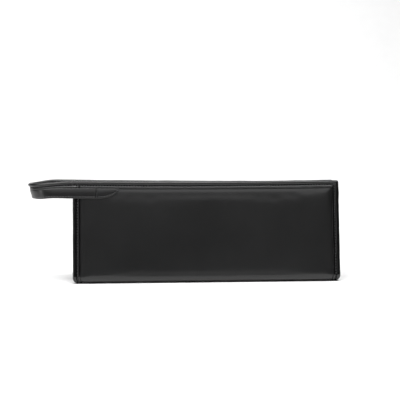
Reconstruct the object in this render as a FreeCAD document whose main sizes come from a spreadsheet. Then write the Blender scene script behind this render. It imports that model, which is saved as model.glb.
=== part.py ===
import FreeCAD, Part
import math
import os

import Sketcher

# Box-shaped makeup bag in smooth leather, with a top zip and a wrist strap at its left end.
# Millimetres. The origin is the centre of the base's resting face: +X to the right (the strap is at -X),
# +Y to the rear and +Z up. The front and back walls lean in towards the top.

SIZES = {
    "bag_length": 330,
    "bag_height": 125,
    "base_depth": 78,
    "top_depth": 38,
    "fold_radius": 7,
    "leather": 1.2,
    "foam": 2.4,
    "lining_cloth": 0.6,
    "roll_diameter": 5,
    "roll_bore": 3.4,
    "cord_diameter": 3.2,
    "seam_gap": 0.1,
    "roll_end_drop": 0.4,
    "wall_top": 119.8,
    "foam_top": 119,
    "lining_top": 116,
    "gusset_setback": 1.5,
    "gusset_top": 117.9,
    "gusset_corner": 2.3,
    "zip_level": 117,
    "tape_thickness": 0.8,
    "tape_inner": 3.1,
    "tape_outer": 13.3,
    "zip_hinge": 13.6,
    "zip_half_length": 127,
    "zip_end_gap": 0.3,
    "facing_outer": 16,
    "facing_inner": 14.2,
    "facing_bottom": 116.2,
    "facing_top": 119.4,
    "tooth_tip": 0.5,
    "tooth_height": 2.4,
    "tooth_width": 1.5,
    "tooth_pitch": 3,
    "bead_width": 0.8,
    "slider_park": 150,
    "slider_travel": 285,
    "slider_length": 14,
    "slider_width": 10,
    "slider_plate": 1.5,
    "slider_throat": 3,
    "slider_post": 0.6,
    "slider_post_length": 5,
    "bridge_width": 2.2,
    "bridge_leg": 1.4,
    "bridge_length": 7,
    "bridge_rise": 2.2,
    "bridge_bar": 1,
    "pull_pivot_back": 4,
    "pull_pivot_rise": 1.1,
    "pull_length": 18,
    "pull_width": 6,
    "pull_thickness": 1.4,
    "pull_eye_length": 5,
    "pull_eye_width": 3.4,
    "tail_width": 20,
    "tail_bottom": 92,
    "tail_thickness": 2.9,
    "tail_top": 120.2,
    "tail_gap": 0.1,
    "strap_height": 20,
    "strap_thickness": 3,
    "strap_reach": 56,
    "strap_level": 115,
    "strap_clearance": 1,
    "tab_length": 56,
    "tab_thickness": 2,
    "tab_bottom": 103,
    "tab_top": 116.5,
    "tab_round": 12,
}

HALF_LENGTH = "(Sizes.bag_length / 2)"
SLOPE = "((Sizes.base_depth - Sizes.top_depth) / 2 / Sizes.bag_height)"
SPREAD = f"sqrt(1 + {SLOPE} ^ 2)"
WRAP_HALF_LENGTH = f"({HALF_LENGTH} - Sizes.roll_diameter - Sizes.seam_gap)"
ROLL_INSET = "(Sizes.roll_diameter / 2)"
ROLL_TOP = "(Sizes.bag_height - Sizes.roll_end_drop)"
TAPE_BOTTOM = "(Sizes.zip_level - Sizes.tape_thickness / 2)"
TAPE_TOP = "(Sizes.zip_level + Sizes.tape_thickness / 2)"
PULL_PIVOT = "(Sizes.slider_park - Sizes.pull_pivot_back)"
PULL_LEVEL = "(Sizes.zip_level + Sizes.slider_throat / 2 + Sizes.slider_plate + Sizes.pull_pivot_rise)"
FRONT, BACK = -1, 1
LEFT, RIGHT = -1, 1
NEAR = 0.01


def half_depth(level, inset="0"):
    """Half the bag's depth at a height, to a layer that lies a given distance inside the outer face."""
    return f"(Sizes.base_depth / 2 - {SLOPE} * ({level}) - {SPREAD} * ({inset}))"


def make_sheet(doc):
    sheet = doc.addObject("Spreadsheet::Sheet", "Sizes")
    for row, (alias, value) in enumerate(SIZES.items(), start=1):
        sheet.set(f"A{row}", alias)
        sheet.set(f"B{row}", str(value))
        sheet.setAlias(f"B{row}", alias)
    doc.recompute()
    return sheet


def number(holder, expression):
    """What an expression comes to now, as a plain number."""
    return float(holder.evalExpression(expression))


def origin_plane(body, role):
    return next(item for item in body.Origin.OriginFeatures if item.Role == role)


def new_body(doc, name):
    body = doc.addObject("PartDesign::Body", name)
    body.Label = name
    return body


def polygon_sketch(body, name, plane, corners, offset="0"):
    """A closed outline on one of the body's own planes, each corner bound by its distances from the origin."""
    sketch = body.newObject("Sketcher::SketchObject", name)
    sketch.AttachmentSupport = (origin_plane(body, plane), [""])
    sketch.MapMode = "FlatFace"
    sketch.setExpression("AttachmentOffset.Base.z", offset)
    points = [FreeCAD.Vector(number(sketch, u), number(sketch, v), 0) for u, v in corners]
    count = len(points)
    for index in range(count):
        sketch.addGeometry(Part.LineSegment(points[index], points[(index + 1) % count]), False)
    for index in range(count):
        sketch.addConstraint(Sketcher.Constraint("Coincident", index, 2, (index + 1) % count, 1))
    for index, (u, v) in enumerate(corners):
        for kind, value, expression in (
            ("DistanceX", points[index].x, u),
            ("DistanceY", points[index].y, v),
        ):
            place = sketch.addConstraint(Sketcher.Constraint(kind, -1, 1, index, 1, value))
            sketch.setExpression(f"Constraints[{place}]", expression)
    return sketch


def pad_outline(body, name, plane, corners, offset, length, reverse=False):
    """Pad an outline by a bound length, starting a bound distance off its plane."""
    pad = body.newObject("PartDesign::Pad", name)
    pad.Profile = polygon_sketch(body, f"{name}_outline", plane, corners, offset)
    pad.setExpression("Length", length)
    pad.Reversed = reverse
    body.Document.recompute()
    return pad


def round_edges(body, name, radius, chosen):
    """Fillet the edges of the body so far that a test picks out. The test is given each edge's two ends."""
    base = body.Tip
    names = []
    for index, edge in enumerate(base.Shape.Edges, start=1):
        if len(edge.Vertexes) == 2 and chosen(edge.Vertexes[0].Point, edge.Vertexes[1].Point):
            names.append(f"Edge{index}")
    if not names:
        raise RuntimeError(f"{name}: no edge to round")
    fillet = body.newObject("PartDesign::Fillet", name)
    fillet.Base = (base, names)
    fillet.setExpression("Radius", radius)
    body.Document.recompute()
    return fillet


def runs_along(axis, start, end):
    """Whether an edge between two points is parallel to an axis, given as 0, 1 or 2."""
    return all(abs(start[other] - end[other]) < NEAR for other in range(3) if other != axis)


def bound_box(doc, name, low, size):
    """A box whose lowest corner and three sides are bound to the sheet."""
    box = doc.addObject("Part::Box", name)
    for side, expression in zip(("Length", "Width", "Height"), size):
        box.setExpression(side, expression)
    for axis, expression in zip("xyz", low):
        box.setExpression(f"Placement.Base.{axis}", expression)
    return box


def joined(doc, name, pieces):
    whole = doc.addObject("Part::MultiFuse", name)
    whole.Shapes = pieces
    return whole


def folded_sheet(doc, name, inset, thickness, top):
    """A sheet that runs down the front, under the base and up the back, rounded at its two folds."""
    body = new_body(doc, name)
    inner = f"({inset} + {thickness})"
    right_side = [
        (half_depth(inner, inner), inner),
        (half_depth(top, inner), top),
        (half_depth(top, inset), top),
        (half_depth(inset, inset), inset),
    ]
    left_side = [(f"-{y}", z) for y, z in reversed(right_side)]
    pad_outline(body, f"{name}_pad", "YZ_Plane", right_side + left_side,
                f"-{WRAP_HALF_LENGTH}", f"2 * {WRAP_HALF_LENGTH}")
    for layer, depth in (("outer", inset), ("inner", inner)):
        level = number(body, depth)
        round_edges(body, f"{name}_{layer}_folds", f"Sizes.fold_radius - {depth}",
                    lambda start, end: runs_along(0, start, end) and abs(start.z - level) < NEAR)
    return body


def wall_stiffener(doc, name, side):
    """The foam board between the leather and the lining of the front or back wall."""
    body = new_body(doc, name)
    bottom = "(Sizes.fold_radius + Sizes.leather)"
    outer = "Sizes.leather"
    inner = "(Sizes.leather + Sizes.foam)"
    corners = [
        (f"{side} * {half_depth(bottom, outer)}", bottom),
        (f"{side} * {half_depth('Sizes.foam_top', outer)}", "Sizes.foam_top"),
        (f"{side} * {half_depth('Sizes.foam_top', inner)}", "Sizes.foam_top"),
        (f"{side} * {half_depth(bottom, inner)}", bottom),
    ]
    pad_outline(body, f"{name}_pad", "YZ_Plane", corners, f"-{WRAP_HALF_LENGTH}", f"2 * {WRAP_HALF_LENGTH}")
    return body


def base_stiffener(doc, name):
    half_width = "(Sizes.base_depth / 2 - Sizes.fold_radius - Sizes.leather)"
    low = (f"-{WRAP_HALF_LENGTH}", f"-{half_width}", "Sizes.leather")
    return bound_box(doc, name, low, (f"2 * {WRAP_HALF_LENGTH}", f"2 * {half_width}", "Sizes.foam"))


def end_panel(doc, name, side, setback, thickness):
    """A trapezoid panel that closes one end, inside the ring of its binding."""
    body = new_body(doc, name)
    inset = "Sizes.roll_diameter"
    corners = [
        (f"-{half_depth(inset, inset)}", inset),
        (half_depth(inset, inset), inset),
        (half_depth("Sizes.gusset_top", inset), "Sizes.gusset_top"),
        (f"-{half_depth('Sizes.gusset_top', inset)}", "Sizes.gusset_top"),
    ]
    outer_face = f"({HALF_LENGTH} - {setback})"
    start = f"({outer_face} - {thickness})" if side == RIGHT else f"-{outer_face}"
    pad_outline(body, f"{name}_pad", "YZ_Plane", corners, start, thickness)
    level = number(body, inset)
    round_edges(body, f"{name}_corners", "Sizes.gusset_corner",
                lambda a, b: runs_along(0, a, b) and abs(a.z - level) < NEAR)
    return body


def end_roll_path(doc, name, side):
    """The line that one end's roll follows: down the front edge, under the base and up the back edge."""
    path = doc.addObject("Sketcher::SketchObject", name)
    path.Placement = FreeCAD.Placement(FreeCAD.Vector(), FreeCAD.Rotation(FreeCAD.Vector(1, 1, 1), 120))
    path.setExpression("Placement.Base.x", f"{side} * ({HALF_LENGTH} - {ROLL_INSET})")
    top = number(path, ROLL_TOP)
    inset = number(path, ROLL_INSET)
    bend = number(path, f"Sizes.fold_radius - {ROLL_INSET}")
    lean = math.atan(number(path, SLOPE))
    top_y = number(path, half_depth(ROLL_TOP, ROLL_INSET))
    base_y = number(path, half_depth(ROLL_INSET, ROLL_INSET))
    # The bend touches the base line at centre_y. It meets the leaning wall a quarter turn further on, less
    # the lean.
    centre_y = base_y - bend * math.tan((math.pi / 2 + lean) / 2)
    touch = FreeCAD.Vector(centre_y + bend * math.cos(lean), inset + bend + bend * math.sin(lean), 0)
    centre = FreeCAD.Vector(centre_y, inset + bend, 0)
    circle = Part.Circle(centre, FreeCAD.Vector(0, 0, 1), bend)
    mirror = Part.Circle(FreeCAD.Vector(-centre.x, centre.y, 0), FreeCAD.Vector(0, 0, 1), bend)
    quarter = math.pi / 2
    path.addGeometry([
        Part.LineSegment(FreeCAD.Vector(-top_y, top, 0), FreeCAD.Vector(-touch.x, touch.y, 0)),
        Part.ArcOfCircle(mirror, 2 * quarter - lean, 3 * quarter),
        Part.LineSegment(FreeCAD.Vector(-centre_y, inset, 0), FreeCAD.Vector(centre_y, inset, 0)),
        Part.ArcOfCircle(circle, 3 * quarter, 4 * quarter + lean),
        Part.LineSegment(touch, FreeCAD.Vector(top_y, top, 0)),
    ], False)
    for first, first_end, second, second_end in ((0, 2, 1, 1), (1, 2, 2, 1), (2, 2, 3, 1), (3, 2, 4, 1)):
        path.addConstraint(Sketcher.Constraint("Tangent", first, first_end, second, second_end))
    bound = [
        (Sketcher.Constraint("Radius", 1, bend), f"Sizes.fold_radius - {ROLL_INSET}"),
        (Sketcher.Constraint("Radius", 3, bend), f"Sizes.fold_radius - {ROLL_INSET}"),
        (Sketcher.Constraint("DistanceY", -1, 1, 2, 1, inset), ROLL_INSET),
        (Sketcher.Constraint("DistanceY", -1, 1, 0, 1, top), ROLL_TOP),
        (Sketcher.Constraint("DistanceY", -1, 1, 4, 2, top), ROLL_TOP),
        (Sketcher.Constraint("DistanceX", -1, 1, 0, 1, -top_y),
         f"-{half_depth(ROLL_TOP, ROLL_INSET)}"),
        (Sketcher.Constraint("DistanceX", -1, 1, 4, 2, top_y),
         half_depth(ROLL_TOP, ROLL_INSET)),
        (Sketcher.Constraint("Angle", 0, -math.pi / 2 - lean), f"-90 deg - atan({SLOPE})"),
        (Sketcher.Constraint("Angle", 4, math.pi / 2 + lean), f"90 deg + atan({SLOPE})"),
    ]
    for constraint, expression in bound:
        place = path.addConstraint(constraint)
        path.setExpression(f"Constraints[{place}]", expression)
    path.addConstraint(Sketcher.Constraint("Horizontal", 2))
    doc.recompute()
    return path


def end_roll(doc, name, side, diameter, path):
    """A round rod along one end's path."""
    ring = doc.addObject("Part::Circle", f"{name}_ring")
    lean = number(ring, f"atan({SLOPE})")
    ring.Placement = FreeCAD.Placement(FreeCAD.Vector(), FreeCAD.Rotation(FreeCAD.Vector(1, 0, 0), -lean))
    ring.setExpression("Radius", f"{diameter} / 2")
    ring.setExpression("Placement.Base.x", f"{side} * ({HALF_LENGTH} - {ROLL_INSET})")
    ring.setExpression("Placement.Base.y", f"-{half_depth(ROLL_TOP, ROLL_INSET)}")
    ring.setExpression("Placement.Base.z", ROLL_TOP)
    ring.setExpression("Placement.Rotation.Angle", f"-atan({SLOPE})")
    rod = doc.addObject("Part::Sweep", name)
    rod.Sections = [ring]
    rod.Spine = (path, [f"Edge{index}" for index in range(1, len(path.Geometry) + 1)])
    rod.Solid = True
    return rod


def top_roll(doc, name, side, diameter):
    """A straight round rod along the top edge of the front or back wall."""
    rod = doc.addObject("Part::Cylinder", name)
    rod.Placement = FreeCAD.Placement(FreeCAD.Vector(), FreeCAD.Rotation(FreeCAD.Vector(0, 1, 0), 90))
    level = f"(Sizes.bag_height - {ROLL_INSET})"
    rod.setExpression("Radius", f"{diameter} / 2")
    rod.setExpression("Height", f"2 * {WRAP_HALF_LENGTH}")
    rod.setExpression("Placement.Base.x", f"-{WRAP_HALF_LENGTH}")
    rod.setExpression("Placement.Base.y", f"{side} * {half_depth(level, ROLL_INSET)}")
    rod.setExpression("Placement.Base.z", level)
    return rod


def hollow(doc, name, rod, bore):
    """A rolled leather tube: a rod less its bore."""
    tube = doc.addObject("Part::Cut", name)
    tube.Base = rod
    tube.Tool = bore
    return tube


def end_binding(doc, end, side):
    """The rolled binding round one end, and the cord that fills it."""
    path = end_roll_path(doc, f"{end}_roll_path", side)
    rod = end_roll(doc, f"{end}_roll", side, "Sizes.roll_diameter", path)
    bore = end_roll(doc, f"{end}_roll_bore", side, "Sizes.roll_bore", path)
    cord = end_roll(doc, f"{end}_binding_cord", side, "Sizes.cord_diameter", path)
    return [hollow(doc, f"{end}_binding", rod, bore), cord]


def top_binding(doc, face, side):
    """The rolled binding along one top edge, and the cord that fills it."""
    rod = top_roll(doc, f"{face}_top_roll", side, "Sizes.roll_diameter")
    bore = top_roll(doc, f"{face}_top_roll_bore", side, "Sizes.roll_bore")
    cord = top_roll(doc, f"{face}_top_cord", side, "Sizes.cord_diameter")
    return [hollow(doc, f"{face}_top_binding", rod, bore), cord]


def strip(doc, name, side, near, far, low, high, half_length):
    """A flat strip along X on the front or back side, between two distances from the middle plane."""
    nearest = far if side == FRONT else near
    low_corner = (f"-{half_length}", f"{side} * {nearest}", low)
    return bound_box(doc, name, low_corner, (f"2 * {half_length}", f"{far} - {near}", f"{high} - {low}"))


def zip_half(doc, face, side):
    """One half of the zip: the fixed strip that carries it, and the tape with its teeth, which lifts."""
    facing = strip(doc, f"{face}_zip_facing", side, "Sizes.facing_inner", "Sizes.facing_outer",
                   "Sizes.facing_bottom", "Sizes.facing_top", WRAP_HALF_LENGTH)
    tape = strip(doc, f"{face}_zip_tape", side, "Sizes.tape_inner", "Sizes.tape_outer",
                 TAPE_BOTTOM, TAPE_TOP, "Sizes.zip_half_length")
    return [facing, tape, zip_teeth(doc, f"{face}_zip_teeth", side)]


def zip_teeth(doc, name, side):
    """A corded bead along the tape's edge with a row of teeth moulded on it."""
    body = new_body(doc, name)
    bead_edge = "(Sizes.tape_inner - Sizes.bead_width)"
    half_run = "Sizes.zip_half_length"
    bead = [
        (f"-{half_run}", f"{side} * {bead_edge}"),
        (half_run, f"{side} * {bead_edge}"),
        (half_run, f"{side} * Sizes.tape_inner"),
        (f"-{half_run}", f"{side} * Sizes.tape_inner"),
    ]
    pad_outline(body, f"{name}_bead", "XY_Plane", bead, TAPE_BOTTOM, "Sizes.tape_thickness")
    first = f"-{half_run}" if side == FRONT else f"(Sizes.tooth_pitch / 2 - {half_run})"
    tooth = [
        (first, f"{side} * Sizes.tooth_tip"),
        (f"{first} + Sizes.tooth_width", f"{side} * Sizes.tooth_tip"),
        (f"{first} + Sizes.tooth_width", f"{side} * Sizes.tape_inner"),
        (first, f"{side} * Sizes.tape_inner"),
    ]
    pad = pad_outline(body, f"{name}_tooth", "XY_Plane", tooth,
                      "(Sizes.zip_level - Sizes.tooth_height / 2)", "Sizes.tooth_height")
    row = body.newObject("PartDesign::LinearPattern", f"{name}_row")
    row.Originals = [pad]
    row.Direction = (origin_plane(body, "X_Axis"), [""])
    count = f"floor((2 * {half_run} - Sizes.tooth_width) / Sizes.tooth_pitch)"
    row.setExpression("Occurrences", count)
    row.setExpression("Length", f"({count} - 1) * Sizes.tooth_pitch")
    body.Tip = row
    doc.recompute()
    return body


def zip_end(doc, name, side):
    """The fixed end of the zip: a flat patch with a slot that the slider's post runs into."""
    body = new_body(doc, name)
    start = f"{side} * (Sizes.zip_half_length + Sizes.zip_end_gap)"
    centre = "Sizes.slider_park" if side == RIGHT else "(Sizes.slider_travel - Sizes.slider_park)"
    slot_end = f"{side} * ({centre} + Sizes.slider_length / 2)"
    outer = f"{side} * {WRAP_HALF_LENGTH}"
    corners = [
        (start, "Sizes.tooth_tip"),
        (slot_end, "Sizes.tooth_tip"),
        (slot_end, "-Sizes.tooth_tip"),
        (start, "-Sizes.tooth_tip"),
        (start, "-Sizes.zip_hinge"),
        (outer, "-Sizes.zip_hinge"),
        (outer, "Sizes.zip_hinge"),
        (start, "Sizes.zip_hinge"),
    ]
    pad_outline(body, f"{name}_pad", "XY_Plane", corners, TAPE_BOTTOM, "Sizes.tape_thickness")
    return body


def zip_tail_tab(doc, name):
    """The end of the zip, folded over the top of the right end and down its outside."""
    body = new_body(doc, name)
    inner_end = "(Sizes.slider_park + Sizes.slider_length / 2 + Sizes.tape_thickness)"
    gusset_face = f"({HALF_LENGTH} - Sizes.gusset_setback + Sizes.tail_gap)"
    outer_face = f"({gusset_face} + Sizes.tail_thickness)"
    underside = "(Sizes.gusset_top + Sizes.tail_gap)"
    corners = [
        (inner_end, underside),
        (gusset_face, underside),
        (gusset_face, "Sizes.tail_bottom"),
        (outer_face, "Sizes.tail_bottom"),
        (outer_face, "Sizes.tail_top"),
        (inner_end, "Sizes.tail_top"),
    ]
    pad_outline(body, f"{name}_pad", "XZ_Plane", corners, "-Sizes.tail_width / 2", "Sizes.tail_width")
    return body


def zip_slider(doc, name):
    """Two plates joined by a thin post between the teeth, with a bridge on top for the pull."""
    throat = "(Sizes.slider_throat / 2)"
    plate_size = ("Sizes.slider_length", "Sizes.slider_width", "Sizes.slider_plate")
    back_end = "Sizes.slider_park - Sizes.slider_length / 2"
    upper_face = f"(Sizes.zip_level + {throat} + Sizes.slider_plate)"
    lower = bound_box(doc, f"{name}_lower_plate",
                      (back_end, "-Sizes.slider_width / 2",
                       f"Sizes.zip_level - {throat} - Sizes.slider_plate"),
                      plate_size)
    upper = bound_box(doc, f"{name}_upper_plate",
                      (back_end, "-Sizes.slider_width / 2", f"Sizes.zip_level + {throat}"), plate_size)
    post = bound_box(doc, f"{name}_post",
                     ("Sizes.slider_park - Sizes.slider_post_length / 2", "-Sizes.slider_post / 2",
                      f"Sizes.zip_level - {throat}"),
                     ("Sizes.slider_post_length", "Sizes.slider_post", "Sizes.slider_throat"))
    bridge_back = f"({PULL_PIVOT} - Sizes.bridge_length / 2)"
    leg_size = ("Sizes.bridge_leg", "Sizes.bridge_width", "Sizes.bridge_rise")
    legs = [
        bound_box(doc, f"{name}_bridge_leg_{place}", (start, "-Sizes.bridge_width / 2", upper_face), leg_size)
        for place, start in (
            ("back", bridge_back),
            ("front", f"{bridge_back} + Sizes.bridge_length - Sizes.bridge_leg"),
        )
    ]
    bar = bound_box(doc, f"{name}_bridge_bar",
                    (bridge_back, "-Sizes.bridge_width / 2", f"{upper_face} + Sizes.bridge_rise"),
                    ("Sizes.bridge_length", "Sizes.bridge_width", "Sizes.bridge_bar"))
    return joined(doc, name, [lower, upper, post, bar] + legs)


def zip_pull(doc, name):
    """A flat pull with an eye: a round crossbar under the slider's bridge, two arms and the grip."""
    half = "(Sizes.pull_thickness / 2)"
    arm_width = "((Sizes.pull_width - Sizes.pull_eye_width) / 2)"
    crossbar = doc.addObject("Part::Cylinder", f"{name}_crossbar")
    crossbar.Placement = FreeCAD.Placement(FreeCAD.Vector(), FreeCAD.Rotation(FreeCAD.Vector(1, 0, 0), -90))
    crossbar.setExpression("Radius", half)
    crossbar.setExpression("Height", "Sizes.pull_width")
    crossbar.setExpression("Placement.Base.x", PULL_PIVOT)
    crossbar.setExpression("Placement.Base.y", "-Sizes.pull_width / 2")
    crossbar.setExpression("Placement.Base.z", PULL_LEVEL)
    arms = [
        bound_box(doc, f"{name}_arm_{place}",
                  (f"{PULL_PIVOT} - Sizes.pull_eye_length", start, f"{PULL_LEVEL} - {half}"),
                  ("Sizes.pull_eye_length", arm_width, "Sizes.pull_thickness"))
        for place, start in (("front", "-Sizes.pull_width / 2"), ("back", "Sizes.pull_eye_width / 2"))
    ]
    grip = bound_box(doc, f"{name}_grip",
                     (f"{PULL_PIVOT} - Sizes.pull_length", "-Sizes.pull_width / 2", f"{PULL_LEVEL} - {half}"),
                     ("Sizes.pull_length - Sizes.pull_eye_length", "Sizes.pull_width",
                      "Sizes.pull_thickness"))
    return joined(doc, name, [crossbar, grip] + arms)


def strap_tab(doc, name, side):
    """The sewn end of the strap, flat on the leaning wall under the top roll."""
    body = new_body(doc, name)
    start = f"-{HALF_LENGTH}"
    end = f"({start} + Sizes.tab_length)"
    corners = [
        (start, f"Sizes.tab_bottom * {SPREAD}"),
        (end, f"Sizes.tab_bottom * {SPREAD}"),
        (end, f"Sizes.tab_top * {SPREAD}"),
        (start, f"Sizes.tab_top * {SPREAD}"),
    ]
    pad_outline(body, f"{name}_pad", "XZ_Plane", corners, "0", "Sizes.tab_thickness", reverse=side == BACK)
    end_x = number(body, end)
    bottom = number(body, corners[0][1])
    round_edges(body, f"{name}_end", "Sizes.tab_round",
                lambda a, b: runs_along(1, a, b) and abs(a.x - end_x) < NEAR and abs(a.z - bottom) < NEAR)
    lean = number(body, f"atan({SLOPE})")
    tilt = FreeCAD.Rotation(FreeCAD.Vector(1, 0, 0), side * lean)
    body.Placement = FreeCAD.Placement(FreeCAD.Vector(), tilt)
    body.setExpression("Placement.Base.y", f"{side} * Sizes.base_depth / 2")
    body.setExpression("Placement.Rotation.Angle", f"{side} * atan({SLOPE})")
    return body


def wrist_loop(doc, name):
    """The strap's free loop: a flat band on edge, bent round into a U, with rounded ends at its root."""
    body = new_body(doc, name)
    root = f"-({HALF_LENGTH} + Sizes.strap_clearance)"
    far = f"-({HALF_LENGTH} + Sizes.strap_reach)"
    inner_far = f"({far} + Sizes.strap_thickness)"
    inner = f"{half_depth('Sizes.strap_level')}"
    outer = f"({inner} + Sizes.strap_thickness)"
    corners = [
        (root, f"-{outer}"), (far, f"-{outer}"), (far, outer), (root, outer),
        (root, inner), (inner_far, inner), (inner_far, f"-{inner}"), (root, f"-{inner}"),
    ]
    pad_outline(body, f"{name}_pad", "XY_Plane", corners,
                "(Sizes.strap_level - Sizes.strap_height / 2)", "Sizes.strap_height")
    for layer, place, width in (("outer", far, outer), ("inner", inner_far, inner)):
        level = number(body, place)
        round_edges(body, f"{name}_{layer}_bend", f"{width} - Sizes.seam_gap",
                    lambda a, b: runs_along(2, a, b) and abs(a.x - level) < NEAR)
    root_x = number(body, root)
    round_edges(body, f"{name}_root", "Sizes.strap_height / 2 - Sizes.seam_gap",
                lambda a, b: runs_along(1, a, b) and abs(a.x - root_x) < NEAR)
    return body


def check(doc, pieces):
    """Stop if any object failed, or if a piece isn't a whole, valid, closed shape."""
    for item in doc.Objects:
        if "Invalid" in item.State or "Error" in item.State:
            raise RuntimeError(f"{item.Name} failed: {item.State}")
    for piece in pieces:
        shape = piece.Shape
        if shape.isNull() or not shape.isValid() or not shape.Solids or shape.Volume <= 0:
            raise RuntimeError(f"{piece.Label} has a bad shape")


def main():
    doc = FreeCAD.newDocument("makeup_bag")
    make_sheet(doc)
    pieces = [
        folded_sheet(doc, "outer_wrap", "0", "Sizes.leather", "Sizes.wall_top"),
        folded_sheet(doc, "lining_wrap", "(Sizes.leather + Sizes.foam)", "Sizes.lining_cloth",
                     "Sizes.lining_top"),
        base_stiffener(doc, "base_stiffener"),
        zip_tail_tab(doc, "zip_tail_tab"),
        zip_slider(doc, "zip_slider"),
        zip_pull(doc, "zip_pull"),
        wrist_loop(doc, "wrist_loop"),
    ]
    for face, side in (("front", FRONT), ("back", BACK)):
        pieces.append(wall_stiffener(doc, f"{face}_stiffener", side))
        pieces.append(strap_tab(doc, f"{face}_strap_tab", side))
        pieces += top_binding(doc, face, side)
        pieces += zip_half(doc, face, side)
    for end, side in (("left", LEFT), ("right", RIGHT)):
        pieces += end_binding(doc, end, side)
        pieces.append(zip_end(doc, f"{end}_zip_end", side))
        pieces.append(end_panel(doc, f"{end}_gusset", side, "Sizes.gusset_setback", "Sizes.leather"))
        pieces.append(end_panel(doc, f"{end}_gusset_lining", side,
                                "(Sizes.gusset_setback + Sizes.leather)", "Sizes.lining_cloth"))
    doc.recompute()
    check(doc, pieces)
    os.makedirs("parts", exist_ok=True)
    for piece in pieces:
        piece.Shape.exportStep(f"parts/{piece.Label}.step")
        print(f"{piece.Label}: {piece.Shape.Volume:.0f} mm3, {len(piece.Shape.Solids)} solid")


main()
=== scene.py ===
"""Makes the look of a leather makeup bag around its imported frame: panels, rolled edges, strap and zip."""

import math

import bmesh
import bpy
from bpy.props import FloatProperty, FloatVectorProperty, PointerProperty
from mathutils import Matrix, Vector, noise


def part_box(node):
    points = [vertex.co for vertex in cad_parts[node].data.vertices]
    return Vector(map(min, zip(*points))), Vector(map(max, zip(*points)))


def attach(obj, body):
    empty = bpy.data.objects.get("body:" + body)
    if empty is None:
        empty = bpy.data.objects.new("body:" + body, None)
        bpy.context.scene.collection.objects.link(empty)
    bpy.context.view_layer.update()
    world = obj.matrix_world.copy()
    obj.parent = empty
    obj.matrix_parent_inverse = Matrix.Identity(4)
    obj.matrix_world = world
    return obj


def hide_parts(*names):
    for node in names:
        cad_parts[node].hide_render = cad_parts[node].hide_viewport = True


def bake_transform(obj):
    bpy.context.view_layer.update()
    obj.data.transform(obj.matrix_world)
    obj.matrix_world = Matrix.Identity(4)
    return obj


bl_info = {
    "name": "Makeup Bag",
    "version": (1, 0, 0),
    "blender": (4, 5, 0),
    "location": "3D View > Sidebar > Makeup Bag",
    "description": "Builds a leather makeup bag with bound edges, a wrist strap and a top zip",
    "category": "Object",
}

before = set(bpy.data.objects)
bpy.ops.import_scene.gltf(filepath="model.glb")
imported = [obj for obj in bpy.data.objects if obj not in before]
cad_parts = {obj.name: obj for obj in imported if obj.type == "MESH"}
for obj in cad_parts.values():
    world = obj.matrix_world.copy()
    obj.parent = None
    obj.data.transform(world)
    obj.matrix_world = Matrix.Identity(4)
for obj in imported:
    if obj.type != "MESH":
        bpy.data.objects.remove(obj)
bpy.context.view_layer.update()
MM = 0.001
UP = Vector((0, 0, 1))


# ---------------------------------------------------------------- the frame's own sizes

def side_sizes():
    """The bag's end planes, how far its walls lean in, and their half depth at the floor."""
    board_low, board_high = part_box("front_stiffener")
    base_low, base_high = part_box("base_stiffener")
    foam = base_high.z - base_low.z
    leather = base_low.z
    rise = board_high.z - board_low.z
    slope = (board_high.y - board_low.y) / rise
    for _ in range(4):
        slope = (board_high.y - board_low.y - foam * math.hypot(1, slope)) / rise
    floor_depth = -board_low.y + slope * board_low.z + leather * math.hypot(1, slope)
    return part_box("left_binding")[0].x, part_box("right_binding")[1].x, slope, floor_depth


LEFT_X, RIGHT_X, SLOPE, FLOOR_DEPTH = side_sizes()
TOP_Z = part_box("front_top_binding")[1].z
LEAN = math.atan(SLOPE)
FOLD = 7 * MM
BASE_LIFT = 0.9 * MM
TAB_END_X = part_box("front_strap_tab")[1].x
LOOP_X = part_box("wrist_loop")[0].x
ZIP_Z = (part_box("front_zip_tape")[0].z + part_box("front_zip_tape")[1].z) / 2
ZIP_LEFT_X, ZIP_RIGHT_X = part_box("front_zip_tape")[0].x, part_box("front_zip_tape")[1].x


def half_depth(height):
    """Half the bag's depth at a height, out to the face of its walls."""
    return FLOOR_DEPTH - SLOPE * height


# ---------------------------------------------------------------- settings

class BagSettings(bpy.types.PropertyGroup):
    """Sizes of the bag's leather and stitches."""
    leather: FloatProperty(name="Leather", description="Thickness of the leather",
                           default=1.1 * MM, unit="LENGTH")
    roll: FloatProperty(name="Roll", description="Diameter of the rolled edge",
                        default=5.3 * MM, unit="LENGTH")
    padding: FloatProperty(name="Padding", description="How far a panel stands above its seams",
                           default=1.1 * MM, unit="LENGTH")
    stitch_pitch: FloatProperty(name="Stitch pitch", description="From one stitch to the next",
                                default=3.4 * MM, unit="LENGTH")
    stitch_length: FloatProperty(name="Stitch length", description="Length of thread that shows",
                                 default=2.7 * MM, unit="LENGTH")
    thread: FloatProperty(name="Thread", description="Thickness of the thread",
                          default=0.75 * MM, unit="LENGTH")
    tooth_pitch: FloatProperty(name="Tooth pitch", description="From one zip tooth to the next on its tape",
                               default=3.0 * MM, unit="LENGTH")


class FinishSettings(bpy.types.PropertyGroup):
    """Colours of the bag's materials."""
    leather: FloatVectorProperty(name="Leather", description="Leather colour", subtype="COLOR",
                                 default=(0.0045, 0.0045, 0.0047), size=3)
    cloth: FloatVectorProperty(name="Lining", description="Lining colour", subtype="COLOR",
                               default=(0.022, 0.022, 0.024), size=3)
    # The thread colour is a dark grey, lighter than the black thread itself. It is partly the thread's own
    # colour and partly a painted highlight, so that the stitches show as bright dashes.
    thread: FloatVectorProperty(name="Thread", description="Thread colour", subtype="COLOR",
                                default=(0.05, 0.05, 0.052), size=3)
    metal: FloatVectorProperty(name="Zip metal", description="Slider and pull colour", subtype="COLOR",
                               default=(0.05, 0.05, 0.052), size=3)
    foam: FloatVectorProperty(name="Foam", description="Foam board colour", subtype="COLOR",
                              default=(0.52, 0.51, 0.48), size=3)


def bag_settings():
    return bpy.context.scene.makeup_bag


def finish_settings():
    return bpy.context.scene.makeup_bag_finish


# ---------------------------------------------------------------- shader nodes

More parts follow.
